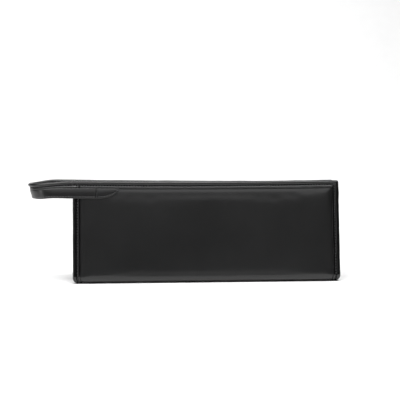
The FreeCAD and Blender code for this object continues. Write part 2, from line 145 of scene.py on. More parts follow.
class Value:
    """A socket that can be used in sums. Each sum adds a Math node."""

    def __init__(self, tree, socket):
        self.tree = tree
        self.socket = socket

    def maths(self, operation, first, second):
        node = self.tree.nodes.new("ShaderNodeMath")
        node.operation = operation
        for place, item in enumerate((first, second)):
            if isinstance(item, Value):
                self.tree.links.new(item.socket, node.inputs[place])
            else:
                node.inputs[place].default_value = item
        return Value(self.tree, node.outputs[0])

    def __add__(self, other):
        return self.maths("ADD", self, other)

    def __mul__(self, other):
        return self.maths("MULTIPLY", self, other)

    def __pow__(self, other):
        return self.maths("POWER", self, other)

    __radd__ = __add__
    __rmul__ = __mul__


class Finish:
    """One material with a Principled surface, and the nodes that vary it."""

    def __init__(self, name, **plain):
        self.material = bpy.data.materials.new(name)
        self.material.use_nodes = True
        self.tree = self.material.node_tree
        self.surface = self.tree.nodes["Principled BSDF"]
        for socket, value in plain.items():
            self.surface.inputs[socket.replace("_", " ")].default_value = value
        self.place = self.node("ShaderNodeTexCoord").outputs["Object"]

    def node(self, kind, settings=None, **inputs):
        node = self.tree.nodes.new(kind)
        for name, value in (settings or {}).items():
            setattr(node, name, value)
        for name, value in inputs.items():
            self.feed(node.inputs[name.replace("_", " ")], value)
        return node

    def feed(self, socket, value):
        if isinstance(value, Value):
            value = value.socket
        if isinstance(value, bpy.types.NodeSocket):
            self.tree.links.new(value, socket)
        else:
            socket.default_value = value

    def value(self, node, output=0):
        return Value(self.tree, node.outputs[output])

    def noise(self, scale, detail=3.0, place=None, roughness=0.5):
        node = self.node("ShaderNodeTexNoise", Vector=place or self.place, Scale=scale, Detail=detail,
                         Roughness=roughness)
        return self.value(node, "Fac")

    def wave(self, direction, scale, distortion):
        """Bands across one direction."""
        node = self.node("ShaderNodeTexWave", {"bands_direction": direction}, Vector=self.place, Scale=scale,
                         Distortion=distortion)
        return self.value(node, "Fac")

    def stretched(self, scale):
        """Object coordinates multiplied along each axis."""
        node = self.node("ShaderNodeVectorMath", {"operation": "MULTIPLY"})
        self.feed(node.inputs[0], self.place)
        node.inputs[1].default_value = scale
        return node.outputs[0]

    def mix_colour(self, share, first, second):
        node = self.node("ShaderNodeMix", {"data_type": "RGBA"})
        self.feed(node.inputs["Factor"], share)
        self.feed(node.inputs[6], (*first, 1.0))
        self.feed(node.inputs[7], (*second, 1.0))
        return node.outputs[2]

    def bump(self, height, distance, strength=1.0, normal=None):
        node = self.node("ShaderNodeBump", Height=height, Distance=distance, Strength=strength)
        if normal:
            self.feed(node.inputs["Normal"], normal)
        return node.outputs[0]

    def set(self, socket, value):
        self.feed(self.surface.inputs[socket], value)


def tinted(colour, by):
    return tuple(channel * by for channel in colour)


def leather_finish(name="black_leather", gloss=0.25, grain=1.0, shade=1.0):
    """Smooth coated leather: fine pebbled grain, softly uneven gloss and slight wear."""
    finish = Finish(name, Specular_IOR_Level=0.5)
    # shade scales the leather's colour. Below 1 it is painted shade: the trim's 0.4 makes a shaded copy of
    # the same leather.
    colour = tinted(tuple(finish_settings().leather), shade)
    broad = finish.noise(14, 2)
    fine = finish.noise(420, 4, roughness=0.6)
    cells = finish.value(finish.node("ShaderNodeTexVoronoi", {"feature": "SMOOTH_F1"}, Vector=finish.place,
                                     Scale=1150, Smoothness=0.6), "Distance")
    finish.set("Base Color", finish.mix_colour(broad, tinted(colour, 0.85), tinted(colour, 1.25)))
    finish.set("Roughness", gloss + 0.07 * broad + 0.06 * fine)
    pebbles = finish.bump(cells * 0.7 + fine * 0.5, 0.00004 * grain, 0.55)
    waves = finish.noise(55, 2)
    finish.set("Normal", finish.bump(waves, 0.00022, 0.25, pebbles))
    return finish.material


def thread_finish():
    """Polished thread with the twist of its plies."""
    finish = Finish("thread", Specular_IOR_Level=0.5, Sheen_Weight=0.15)
    plies = finish.wave("DIAGONAL", 900, 0.5)
    # Lighter than the real black thread: part painted highlight on the stitches.
    colour = tuple(finish_settings().thread)
    finish.set("Base Color", finish.mix_colour(plies, tinted(colour, 0.7), tinted(colour, 1.6)))
    finish.set("Roughness", 0.42 + 0.12 * plies)
    finish.set("Normal", finish.bump(plies, 0.00006, 0.6))
    return finish.material


WAVE_SCALE = 20    # a Wave texture has one band in 2 pi / 20 at scale 1


def woven_finish(name, colour, pitch, roughness=0.72):
    """Woven cloth: crossing yarns with a little slub."""
    finish = Finish(name, Specular_IOR_Level=0.3, Sheen_Weight=0.2, Sheen_Roughness=0.5)
    turns = 2 * math.pi / pitch / WAVE_SCALE
    along, across, upright = (finish.wave(direction, turns, 0.35) for direction in "XYZ")
    weave = (along + across + upright) * 0.33
    slub = finish.noise(260, 3)
    shade = weave * 0.7 + slub * 0.3
    finish.set("Base Color", finish.mix_colour(shade, tinted(colour, 0.6), tinted(colour, 1.7)))
    finish.set("Roughness", roughness + 0.14 * slub)
    finish.set("Normal", finish.bump(weave + slub * 0.4, 0.00012, 0.6))
    return finish.material


def metal_finish():
    """Black plated metal, lightly brushed and rubbed."""
    finish = Finish("zip_metal", Metallic=1.0, Coat_Weight=0.3, Coat_Roughness=0.12)
    colour = tuple(finish_settings().metal)
    brushed = finish.noise(1.0, 3, finish.stretched((200, 2600, 2600)))
    rubbed = finish.noise(900, 4)
    finish.set("Base Color", finish.mix_colour(rubbed ** 3, colour, tinted(colour, 3.0)))
    finish.set("Roughness", 0.24 + 0.14 * brushed)
    finish.set("Normal", finish.bump(brushed, 0.00001, 0.4))
    return finish.material


def moulded_finish():
    """Black moulded plastic for the teeth."""
    finish = Finish("zip_teeth", Specular_IOR_Level=0.5)
    speckle = finish.noise(1600, 3)
    finish.set("Base Color", finish.mix_colour(speckle, (0.01, 0.01, 0.01), (0.03, 0.03, 0.03)))
    finish.set("Roughness", 0.3 + 0.16 * speckle)
    finish.set("Normal", finish.bump(speckle, 0.00002, 0.5))
    return finish.material


def foam_finish():
    """Open-celled foam board."""
    finish = Finish("foam_board", Specular_IOR_Level=0.2)
    colour = tuple(finish_settings().foam)
    cells = finish.value(finish.node("ShaderNodeTexVoronoi", Vector=finish.place, Scale=900), "Distance")
    finish.set("Base Color", finish.mix_colour(cells, tinted(colour, 0.65), colour))
    finish.set("Roughness", 0.82 + 0.12 * cells)
    finish.set("Normal", finish.bump(cells, 0.0003, 0.7))
    return finish.material


def stage_finish():
    """White paper with faint fibres."""
    finish = Finish("studio_paper", Specular_IOR_Level=0.1)
    fibres = finish.noise(30, 3)
    finish.set("Base Color", finish.mix_colour(fibres, (0.9, 0.9, 0.9), (0.93, 0.93, 0.93)))
    finish.set("Roughness", 0.85 + 0.1 * fibres)
    return finish.material


MAKERS = {
    "black_leather": leather_finish,
    # The trim is the same black leather at 0.4 of its colour. This is painted shade, standing in for the
    # shade in and round the rolled edges and their grooves.
    "leather_trim": lambda: leather_finish("leather_trim", 0.13, 0.6, 0.4),
    "thread": thread_finish,
    "lining_cloth": lambda: woven_finish("lining_cloth", tuple(finish_settings().cloth), 0.6 * MM),
    "zip_tape": lambda: woven_finish("zip_tape", (0.016, 0.016, 0.017), 0.55 * MM, 0.66),
    "zip_metal": metal_finish,
    "zip_teeth": moulded_finish,
    "foam_board": foam_finish,
    "filler_cord": lambda: woven_finish("filler_cord", (0.4, 0.4, 0.38), 0.8 * MM, 0.7),
    "studio_paper": stage_finish,
}


def material(name):
    """A finish by name, made the first time that it is asked for."""
    made = bpy.data.materials.get(f"{name}_finish")
    if not made:
        made = MAKERS[name]()
        made.name = f"{name}_finish"
    return made


# ---------------------------------------------------------------- sums

def between(first, last, share):
    return first + (last - first) * share


def clamped(share):
    return min(max(share, 0.0), 1.0)


def ease(share):
    share = clamped(share)
    return share * share * (3 - 2 * share)


def even(first, last, step):
    """Even places from first to last, about a step apart."""
    count = max(1, round(abs(last - first) / step))
    return [first + (last - first) * index / count for index in range(count + 1)]


# ---------------------------------------------------------------- meshes

def mesh_object(name, points, faces, finish):
    mesh = bpy.data.meshes.new(name)
    mesh.from_pydata([tuple(point) for point in points], [], faces)
    mesh.validate()
    mesh.update()
    mesh.materials.append(material(finish))
    made = bpy.data.objects.new(name, mesh)
    bpy.context.scene.collection.objects.link(made)
    smooth(made)
    return made


def smooth(made):
    made.data.polygons.foreach_set("use_smooth", [True] * len(made.data.polygons))
    made.data.update()


def outward(made):
    """Turn every face outwards."""
    shape = bmesh.new()
    shape.from_mesh(made.data)
    bmesh.ops.recalc_face_normals(shape, faces=shape.faces)
    shape.to_mesh(made.data)
    shape.free()
    made.data.update()


def applied(made):
    """Put an object's modifiers into its mesh."""
    flat = bpy.data.meshes.new_from_object(made.evaluated_get(bpy.context.evaluated_depsgraph_get()))
    made.modifiers.clear()
    old = made.data
    made.data = flat
    flat.name = made.name
    bpy.data.meshes.remove(old)
    return made


def settle(made, body, *nodes, slot=None):
    """Let a finished piece ride on its body and stand for its nodes."""
    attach(made, body)
    if nodes:
        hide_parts(*nodes)
    return made


def arc(centre, radius, first, last, steps):
    """Points (s, n) on an arc, its angles in degrees from the s direction."""
    turns = [math.radians(first + (last - first) * step / steps) for step in range(steps + 1)]
    return [(centre[0] + radius * math.cos(turn), centre[1] + radius * math.sin(turn)) for turn in turns]


# ---------------------------------------------------------------- routes over the bag

FOLD_CENTRE_Z = BASE_LIFT + FOLD
FOLD_CENTRE_Y = half_depth(FOLD_CENTRE_Z) - FOLD / math.cos(LEAN)
CORNER = 3.2 * MM    # the radius of a top corner
FOLD_STEPS, BASE_STEPS, CORNER_STEPS = 6, 14, 6
SLANT = math.hypot(1, SLOPE)
WALL_RUN = (TOP_Z - FOLD_CENTRE_Z - FOLD * math.sin(LEAN)) * SLANT
FRONT, BACK = -1, 1
LEFT, RIGHT = -1, 1


class Turn:
    """A corner of a route. Past its centre, every step of the turn shares one mitre point."""

    def __init__(self, centre, radius, middle, half_turn, along):
        self.centre = centre
        self.radius = radius
        self.mitre = -middle / math.cos(half_turn)
        self.along = along


def place(station, s, n):
    """The point of one station that lies s across and n outwards."""
    origin, across, out, turn = station
    if turn:
        depth = s if turn.along == "across" else -n
        if depth > turn.radius:
            rest = out * n if turn.along == "across" else across * s
            return turn.centre + turn.mitre * (depth - turn.radius) + rest
    return origin + across * s + out * n


def wall_frame(side):
    """The outward and the downward direction of the front or back wall."""
    return (Vector((0, side * math.cos(LEAN), math.sin(LEAN))),
            Vector((0, side * math.sin(LEAN), -math.cos(LEAN))))


def wall_point(x, down, side):
    """A point on a wall's face, a distance down its slope from the top."""
    return Vector((x, side * half_depth(TOP_Z), TOP_Z)) + wall_frame(side)[1] * down


def section(downs, inset=0.0):
    """Stations across the bag, from the front's top to the back's top, at given distances down each wall.

    Each is a point in the YZ plane, its outward direction, whether it is on a fold, and how far down it is.
    """
    radius = FOLD - inset
    half = []
    for step in range(BASE_STEPS):
        y = FOLD_CENTRE_Y * step / BASE_STEPS
        half.append((y, BASE_LIFT + inset, -math.pi / 2, False, WALL_RUN + FOLD))
    for step in range(FOLD_STEPS + 1):
        turn = -math.pi / 2 + (math.pi / 2 + LEAN) * step / FOLD_STEPS
        y, z = FOLD_CENTRE_Y + radius * math.cos(turn), FOLD_CENTRE_Z + radius * math.sin(turn)
        half.append((y, z, turn, True, WALL_RUN + FOLD * (LEAN - turn)))
    for down in sorted(downs, reverse=True):
        point = wall_point(0.0, down, BACK) - wall_frame(BACK)[0] * inset
        half.append((point.y, point.z, LEAN, False, down))
    back = [(Vector((0, y, z)), Vector((0, math.cos(angle), math.sin(angle))), folded, down)
            for y, z, angle, folded, down in half]
    front = [(Vector((0, -point.y, point.z)), Vector((0, -out.y, out.z)), folded, down)
             for point, out, folded, down in back[:0:-1]]
    return front + back


def end_stations(side, downs):
    """Stations round one end, at its outermost plane, with X pointing inwards as the across direction."""
    across = Vector((-side, 0, 0))
    end_x = LEFT_X if side == LEFT else RIGHT_X
    stations = []
    middle_angle = (-math.pi / 2 + LEAN) / 2
    for point, out, folded, _ in section(downs):
        turn = None
        if folded:
            sign = 1 if point.y > 0 else -1
            centre = Vector((end_x, sign * FOLD_CENTRE_Y, FOLD_CENTRE_Z))
            middle = Vector((0, sign * math.cos(middle_angle), math.sin(middle_angle)))
            turn = Turn(centre, FOLD, middle, (math.pi / 2 + LEAN) / 2, "out")
        stations.append((Vector((end_x, point.y, point.z)), across, out, turn))
    return stations


def corner_stations(face, end, reach):
    """Stations from a point along the top edge, round the top corner to the start of the upright edge."""
    out, downward = wall_frame(face)
    inward = Vector((-end, 0, 0))
    end_x = LEFT_X if end == LEFT else RIGHT_X
    corner = wall_point(end_x, 0.0, face)
    centre = corner + (inward + downward) * CORNER
    middle = -(inward + downward).normalized()
    stations = [(corner + inward * reach, downward, out, None)]
    for step in range(CORNER_STEPS + 1):
        turn = math.pi / 2 * step / CORNER_STEPS
        across = downward * math.cos(turn) + inward * math.sin(turn)
        stations.append((centre - across * CORNER, across, out,
                         Turn(centre, CORNER, middle, math.pi / 4, "across")))
    return stations


# ---------------------------------------------------------------- profiles (across, outwards)

WELT_END = 9.3 * MM
# The welt beside a roll, in mm, from its far edge over its face and down into the groove.
WELT = [(9.0, -1.6), (9.3, -1.1), (9.28, -0.15), (9.1, 0.3), (8.7, 0.56), (8.1, 0.68), (7.5, 0.66),
        (6.95, 0.42), (6.5, -0.05), (6.2, -0.75), (5.9, -1.4), (5.5, -1.6), (5.2, -1.4)]
ROLL_PROUD = 0.45 * MM    # how far a roll stands above the face of its wall
GROOVE = 5.75 * MM
GROOVE_DEPTH = -1.3 * MM
THREAD_DEPTH = GROOVE_DEPTH + 0.45 * MM
CORD_RADIUS = 1.55 * MM


def millimetres(points):
    return [(s * MM, n * MM) for s, n in points]


def binding_profile():
    """A rolled edge, the groove that its stitches pull in, and the flat welt beside it."""
    radius = bag_settings().roll / 2
    return arc((radius, ROLL_PROUD - radius), radius, 20, 318, 23) + millimetres([(7.2, -3.4)] + WELT)


def cord_profile():
    """The round cord in the middle of a roll."""
    radius = bag_settings().roll / 2
    return arc((radius, ROLL_PROUD - radius), CORD_RADIUS, 0, 345, 23)


def gusset_welt_profile():
    """The welt on the end panel's side of the roll."""
    return millimetres([(1.45, -4.3), (2.35, -5.0), (2.5, -5.5), (2.2, -6.1), (1.5, -6.6), (1.0, -7.3),
                        (0.95, -8.2), (1.25, -8.9), (1.8, -9.3), (3.4, -9.3), (3.6, -7.0), (3.4, -4.3)])


def rounded_bar(s_low, s_high, n_low, n_high, crown):
    """A flat strip's section with rounded edges and a slightly crowned face."""
    radius = min((n_high - n_low) / 2, max((s_high - s_low) / 2.05, 0.05 * MM)) * 0.92
    points = []
    for s, n, first in ((s_high - radius, n_high - radius, 90), (s_low + radius, n_high - radius, 180),
                        (s_low + radius, n_low + radius, 270), (s_high - radius, n_low + radius, 360)):
        for step in range(5):
            turn = math.radians(first - 90 + 22.5 * step)
            points.append((s + radius * math.cos(turn), n + radius * math.sin(turn)))
    bulged = []
    for s, n in points:
        share = (s - s_low) / max(s_high - s_low, 1e-6)
        rise = crown * math.sin(math.pi * clamped(share))
        bulged.append((s, n + (rise if n > (n_low + n_high) / 2 else 0)))
    return bulged


def swept(name, stations, profiles, finish, closed=False):
    """A solid along stations, with one profile for all of them or one each."""
    if isinstance(profiles[0], tuple):
        profiles = [profiles] * len(stations)
    count = len(profiles[0])
    rings = len(stations)
    points = [place(station, s, n) for station, profile in zip(stations, profiles) for s, n in profile]
    faces = []
    for ring in range(rings if closed else rings - 1):
        here, there = ring * count, (ring + 1) % rings * count
        for step in range(count):
            after = (step + 1) % count
            faces.append((here + step, here + after, there + after, there + step))
    if not closed:
        for ring in (0, rings - 1):
            start = ring * count
            middle = len(points)
            points.append(sum((points[start + step] for step in range(count)), Vector()) / count)
            faces += [(start + step, start + (step + 1) % count, middle) for step in range(count)]
    made = mesh_object(name, points, faces, finish)
    clean(made)
    return made


SHARP_ANGLE = 1.0    # edges that turn more, in radians, are shaded sharp


def clean(made):
    """Merge points that a mitre brought together, drop what that flattened, and turn the faces outwards."""
    shape = bmesh.new()
    shape.from_mesh(made.data)
    bmesh.ops.remove_doubles(shape, verts=shape.verts, dist=0.002 * MM)
    bmesh.ops.dissolve_degenerate(shape, edges=shape.edges, dist=0.001 * MM)
    bmesh.ops.recalc_face_normals(shape, faces=shape.faces)
    shape.to_mesh(made.data)
    shape.free()
    smooth(made)
    made.data.set_sharp_from_angle(angle=SHARP_ANGLE)


def joined(name, parts):
    """Several meshes made one."""
    shape = bmesh.new()
    for part in parts:
        shape.from_mesh(part.data)
    mesh = bpy.data.meshes.new(name)
    shape.to_mesh(mesh)
    shape.free()
    for used in parts[0].data.materials:
        mesh.materials.append(used)
    for part in parts:
        bpy.data.meshes.remove(part.data)
    made = bpy.data.objects.new(name, mesh)
    bpy.context.scene.collection.objects.link(made)
    smooth(made)
    return made


def grid_sheet(name, rows, finish):
    """An open sheet through rows of points."""
    width = len(rows[0])
    points = [point for row in rows for point in row]
    faces = [(r * width + c, r * width + c + 1, (r + 1) * width + c + 1, (r + 1) * width + c)
             for r in range(len(rows) - 1) for c in range(width - 1)]
    return mesh_object(name, points, faces, finish)


# ---------------------------------------------------------------- cloth

SIM_FRAMES = 20


def billow(made, held, push, slack, cap_out, cap_in):
    """Let a pinned sheet swell and settle as cloth, and keep each point near where it started."""
    start = [vertex.co.copy() for vertex in made.data.vertices]
    normals = [vertex.normal.copy() for vertex in made.data.vertices]
    pins = made.vertex_groups.new(name="held")
    for index in held:
        pins.add([index], 1.0, "REPLACE")
    cloth = made.modifiers.new("cloth", "CLOTH")
    rules = cloth.settings
    rules.quality = 5
    rules.mass = 0.3
    rules.tension_stiffness = rules.compression_stiffness = 25
    rules.shear_stiffness = 12
    rules.bending_stiffness = 0.6
    rules.vertex_group_mass = "held"
    rules.shrink_min = -slack
    rules.use_pressure = True
    rules.uniform_pressure_force = push
    rules.effector_weights.gravity = 0
    cloth.collision_settings.use_collision = False
    cloth.point_cache.frame_start = 1
    cloth.point_cache.frame_end = SIM_FRAMES
    scene = bpy.context.scene
    for step in range(1, SIM_FRAMES + 1):
        scene.frame_set(step)
    settled = made.evaluated_get(bpy.context.evaluated_depsgraph_get()).to_mesh()
    places = [vertex.co.copy() for vertex in settled.vertices]
    made.evaluated_get(bpy.context.evaluated_depsgraph_get()).to_mesh_clear()
    made.modifiers.remove(cloth)
    made.vertex_groups.clear()
    scene.frame_set(1)
    for vertex, first, normal, moved in zip(made.data.vertices, start, normals, places):
        shift = moved - first
        rise = shift.dot(normal)
        kept = min(max(rise, -cap_in), cap_out)
        slide = shift - normal * rise
        if slide.length > cap_out:
            slide *= cap_out / slide.length
        vertex.co = first + normal * kept + slide
    made.data.update()


def thickened(made, thickness, offset=-1.0):
    """Give a sheet its thickness and smooth it."""
    wall = made.modifiers.new("wall", "SOLIDIFY")
    wall.thickness = thickness
    wall.offset = offset
    wall.use_even_offset = True
    finer = made.modifiers.new("finer", "SUBSURF")
    finer.levels = finer.render_levels = 1
    applied(made)
    smooth(made)
    return made


# ---------------------------------------------------------------- stitches

def spaced_tree(name, inputs):
    """A node tree with its inputs, its output and points along every curve, a pitch apart."""
    tree = bpy.data.node_groups.new(name, "GeometryNodeTree")
    for label, kind, default in [("Geometry", "Geometry", None), ("Material", "Material", None), *inputs]:
        socket = tree.interface.new_socket(label, in_out="INPUT", socket_type=f"NodeSocket{kind}")
        if default is not None:
            socket.default_value = default
    tree.interface.new_socket("Geometry", in_out="OUTPUT", socket_type="NodeSocketGeometry")
    given = tree.nodes.new("NodeGroupInput")
    spaced = tree.nodes.new("GeometryNodeResampleCurve")
    spaced.mode = "LENGTH"
    tree.links.new(given.outputs["Geometry"], spaced.inputs["Curve"])
    tree.links.new(given.outputs["Pitch"], spaced.inputs["Length"])
    return tree, given, spaced


def finish_tree(tree, given, copies, rounded):
    """Make the copies one mesh in the given material, shaded smooth if rounded, as the tree's output."""
    real = tree.nodes.new("GeometryNodeRealizeInstances")
    tree.links.new(copies.outputs["Instances"], real.inputs["Geometry"])
    if rounded:
        shade = tree.nodes.new("GeometryNodeSetShadeSmooth")
        tree.links.new(real.outputs["Geometry"], shade.inputs["Geometry"])
        real = shade
    coloured = tree.nodes.new("GeometryNodeSetMaterial")
    tree.links.new(real.outputs["Geometry"], coloured.inputs["Geometry"])
    tree.links.new(given.outputs["Material"], coloured.inputs["Material"])
    result = tree.nodes.new("NodeGroupOutput")
    tree.links.new(coloured.outputs["Geometry"], result.inputs["Geometry"])
    return tree


def stitch_tree():
    """Stitches along every curve: one short rounded thread at each step, turned to lie along it."""
    done = bpy.data.node_groups.get("stitches_along")
    if done:
        return done
    tree, given, spaced = spaced_tree("stitches_along", [
        ("Pitch", "Float", 3.4 * MM), ("Length", "Float", 2.7 * MM), ("Thread", "Float", 0.75 * MM),
        ("Unevenness", "Float", 0.06), ("Seed", "Int", 3)])
    make, link = tree.nodes.new, tree.links.new
    ball = make("GeometryNodeMeshUVSphere")
    ball.inputs["Segments"].default_value = 8
    ball.inputs["Rings"].default_value = 6
    ball.inputs["Radius"].default_value = 0.5
    tangent = make("GeometryNodeInputTangent")
    aligned = make("FunctionNodeAlignRotationToVector")
    aligned.axis = "Z"
    link(tangent.outputs[0], aligned.inputs["Vector"])
    uneven = make("FunctionNodeRandomValue")
    uneven.data_type = "FLOAT"
    low, high = make("ShaderNodeMath"), make("ShaderNodeMath")
    low.operation, high.operation = "SUBTRACT", "ADD"
    low.inputs[0].default_value = high.inputs[0].default_value = 1.0
    link(given.outputs["Unevenness"], low.inputs[1])
    link(given.outputs["Unevenness"], high.inputs[1])
    link(low.outputs[0], uneven.inputs[2])
    link(high.outputs[0], uneven.inputs[3])
    link(given.outputs["Seed"], uneven.inputs["Seed"])
    long = make("ShaderNodeMath")
    long.operation = "MULTIPLY"
    link(given.outputs["Length"], long.inputs[0])
    link(uneven.outputs[1], long.inputs[1])
    size = make("ShaderNodeCombineXYZ")
    link(given.outputs["Thread"], size.inputs["X"])
    link(given.outputs["Thread"], size.inputs["Y"])
    link(long.outputs[0], size.inputs["Z"])
    copies = make("GeometryNodeInstanceOnPoints")
    link(spaced.outputs["Curve"], copies.inputs["Points"])
    link(ball.outputs["Mesh"], copies.inputs["Instance"])
    link(aligned.outputs[0], copies.inputs["Rotation"])
    link(size.outputs[0], copies.inputs["Scale"])
    return finish_tree(tree, given, copies, True)


def from_nodes(name, source, tree, values):
    """Run a node tree on a source object with the given inputs, and keep only the mesh that it makes."""
    modifier = source.modifiers.new("nodes", "NODES")
    modifier.node_group = tree
    for item in tree.interface.items_tree:
        if item.in_out == "INPUT" and item.name in values:
            modifier[item.identifier] = values[item.name]
    source.update_tag()
    bpy.context.view_layer.update()
    mesh = bpy.data.meshes.new_from_object(source.evaluated_get(bpy.context.evaluated_depsgraph_get()))
    source.modifiers.clear()
    bpy.data.objects.remove(source)
    mesh.name = name
    made = bpy.data.objects.new(name, mesh)
    bpy.context.scene.collection.objects.link(made)
    return made


def line_object(routes):
    """A curve object with one straight-run spline for each route."""
    curve = bpy.data.curves.new("routes", "CURVE")
    curve.dimensions = "3D"
    for route in routes:
        spline = curve.splines.new("POLY")
        spline.points.add(len(route) - 1)
        for point, where in zip(spline.points, route):
            point.co = (*where, 1.0)
    made = bpy.data.objects.new("routes", curve)
    bpy.context.scene.collection.objects.link(made)
    return made


def stitch_rows(name, routes, seed, scale=1.0):
    """Rows of stitches along routes of points."""
    sizes = bag_settings()
    values = {"Pitch": sizes.stitch_pitch * scale, "Length": sizes.stitch_length * scale,
              "Thread": sizes.thread, "Seed": seed, "Material": material("thread")}
    made = from_nodes(name, line_object(routes), stitch_tree(), values)
    if not made.data.polygons:
        raise RuntimeError(f"{name}: no stitches were made")
    return made


def row_on(stations, s, n):
    """The points of a row that keeps its place on every station."""
    return [place(station, s, n) for station in stations]


# ---------------------------------------------------------------- softness

SAG = 1.3 * MM                             # of both top edges
BACK_SAG = 0.5 * MM                        # the back edge's own, added to it
BACK_DIP = 1.3 * MM                        # of the back edge towards its right end
BACK_FROM, BACK_RUN = 10 * MM, 7 * MM      # behind the middle
DIP_FROM, DIP_RUN = -60 * MM, 180 * MM     # along X
CORNER_TUCK = 4.2 * MM
TUCK_HEIGHT = 8.5 * MM
TUCK_FROM = 0.82                           # of the half length
WAVER = 0.45 * MM
WAVER_NEAR_FLOOR, WAVER_NEAR_END, WAVER_NEAR_MIDDLE = 20 * MM, 25 * MM, 15 * MM


def softened(made, amount=1.0, span=None):
    """Let a stitched-up shape give a little.

    The top sags mid-length over its span, the low corners tuck in and the faces waver.
    """
    half = (RIGHT_X - LEFT_X) / 2
    span = span or half
    for vertex in made.data.vertices:
        x, y, z = vertex.co
        up = max(z / TOP_Z, 0.0)
        along = math.cos(math.pi * x / 2 / span) if abs(x) < span else 0.0
        behind = clamped((y - BACK_FROM) / BACK_RUN) * up ** 4
        drop = SAG * along * up ** 2
        drop += behind * (BACK_SAG * along ** 0.5 + BACK_DIP * ease((x - DIP_FROM) / DIP_RUN))
        low = clamped((TUCK_HEIGHT - z) / TUCK_HEIGHT)
        near_end = clamped((abs(x) - TUCK_FROM * half) / ((1 - TUCK_FROM) * half))
        tuck = CORNER_TUCK * (1 - math.sqrt(1 - low * low * 0.98)) * near_end
        waver = noise.noise(Vector((x * 13, (1 if y > 0 else -1) * 3.0, z * 11))) * WAVER
        waver *= min(z / WAVER_NEAR_FLOOR, 1.0) * amount
        waver *= clamped((half - abs(x)) / WAVER_NEAR_END) * min(abs(y) / WAVER_NEAR_MIDDLE, 1.0)
        vertex.co = (x - math.copysign(tuck, x), y + math.copysign(waver, y), z - drop)
    made.data.update()
    return made


def rumpled(made, height, scale, seed=0.0, where=None):
    """Push a surface in and out along its normals, evenly or by what `where` gives for each point."""
    normals = [vertex.normal.copy() for vertex in made.data.vertices]
    for vertex, normal in zip(made.data.vertices, normals):
        share = where(vertex.co) if where else 1.0
        if share > 0:
            vertex.co += normal * height * share * noise.noise(vertex.co * scale + Vector((seed, 0, 0)))
    made.data.update()
    return made


# ---------------------------------------------------------------- the leather shell

EDGE_STEPS = [value * MM for value in (6.5, 7.6, 9.2, 9.9, 10.8, 12, 13.6, 15.8, 18.6)]
SHEET_FROM, SHEET_STEP = 22.5 * MM, 4.2 * MM    # even rows and columns after the edge's own
SEAM_HOLD = 0.8 * MM                            # the sheet is held this far past the welt


def seam_rise(distance):
    """How far padded leather stands above a seam, at a distance from it."""
    padding = bag_settings().padding
    if distance <= 0:
        return -0.55 * MM
    return -0.45 * MM + padding * (1 - math.exp(-distance / (2.6 * MM)))


def make_outer_wrap():
    """Front, base and back in one padded sheet, simulated as cloth held at its seams."""
    length = RIGHT_X - LEFT_X
    columns = EDGE_STEPS + even(SHEET_FROM, length - SHEET_FROM, SHEET_STEP)
    columns += [length - edge for edge in reversed(EDGE_STEPS)]
    downs = EDGE_STEPS + even(SHEET_FROM, WALL_RUN - 1 * MM, SHEET_STEP)
    rows, held = [], []
    for point, out, _, down in section(downs):
        row = []
        for column in columns:
            ends = min(column, length - column) - WELT_END
            rise = min(seam_rise(ends), seam_rise(down - WELT_END))
            under = max(0.0, -out.z)
            rise = rise * (1 - 0.45 * under) if rise > 0 else rise
            if ends < SEAM_HOLD or down - WELT_END < SEAM_HOLD or under > 0.6:
                held.append(len(rows) * len(columns) + len(row))
            row.append(Vector((LEFT_X + column, 0, 0)) + point + out * rise)
        rows.append(row)
    made = grid_sheet("outer_wrap", rows, "black_leather")
    if made.data.polygons[len(made.data.polygons) // 4].normal.y > 0:
        made.data.flip_normals()
    billow(made, held, push=0.5, slack=0.0003, cap_out=0.28 * MM, cap_in=0.1 * MM)
    thickened(made, bag_settings().leather)
    softened(made)
    settle(made, "bag", "outer_wrap", slot="black_leather")
    cut_length = 2 * (WALL_RUN + FOLD * (math.pi / 2 + LEAN) + FOLD_CENTRE_Y)
    hidden = 2 * EDGE_STEPS[0]
    length - hidden
    cut_length - hidden


GUSSET_INSET = 7.4 * MM
GUSSET_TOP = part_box("left_gusset")[1].z
LINING_CLOTH = 0.5 * MM
LINING_INSET = 4.5 * MM      # inside the face of the walls
LINING_TOP = 9 * MM          # down the walls
LINING_END = 6 * MM          # in from the ends
LINING_SLACK = 0.9 * MM
END_LINING_TOP = 116.4 * MM


def make_lining():
    """The lining of walls and base, a little slack, and the linings of the two ends."""
    length = RIGHT_X - LEFT_X
    columns = even(LINING_END, length - LINING_END, 6 * MM)
    rows = []
    for point, out, _, down in section(even(LINING_TOP, WALL_RUN - 1 * MM, 5 * MM), LINING_INSET):
        loose = LINING_SLACK * clamped((down - LINING_TOP) / (10 * MM))
        row = []
        for column in columns:
            ripple = noise.noise(Vector((column * 24, down * 31, point.y * 9))) + 0.5
            row.append(point - out * loose * ripple + Vector((LEFT_X + column, 0, 0)))
        rows.append(row)
    made = grid_sheet("lining_wrap", rows, "lining_cloth")
    thickened(made, LINING_CLOTH, offset=0.0)
    softened(made)
    settle(made, "bag", "lining_wrap", slot="lining_cloth")
    run = 2 * (WALL_RUN + (FOLD - LINING_INSET) * (math.pi / 2 + LEAN) + FOLD_CENTRE_Y) - 2 * LINING_TOP
    length - 2 * LINING_END
    for end, side in (("left", LEFT), ("right", RIGHT)):
        panel = end_sheet(f"{end}_gusset_lining", side, 5.2 * MM, END_LINING_TOP, "lining_cloth")
        thickened(panel, LINING_CLOTH, offset=0.0)
        softened(panel)
        settle(panel, "bag", f"{end}_gusset_lining", slot="lining_cloth")
        declare_end(END_LINING_TOP)


def end_half_width(height):
    """Half the width of an end panel at a height."""
    return half_depth(height) - GUSSET_INSET * SLANT


END_STEPS = 16         # across an end panel
END_BOW = 0.9 * MM     # how far an end panel's middle dips in


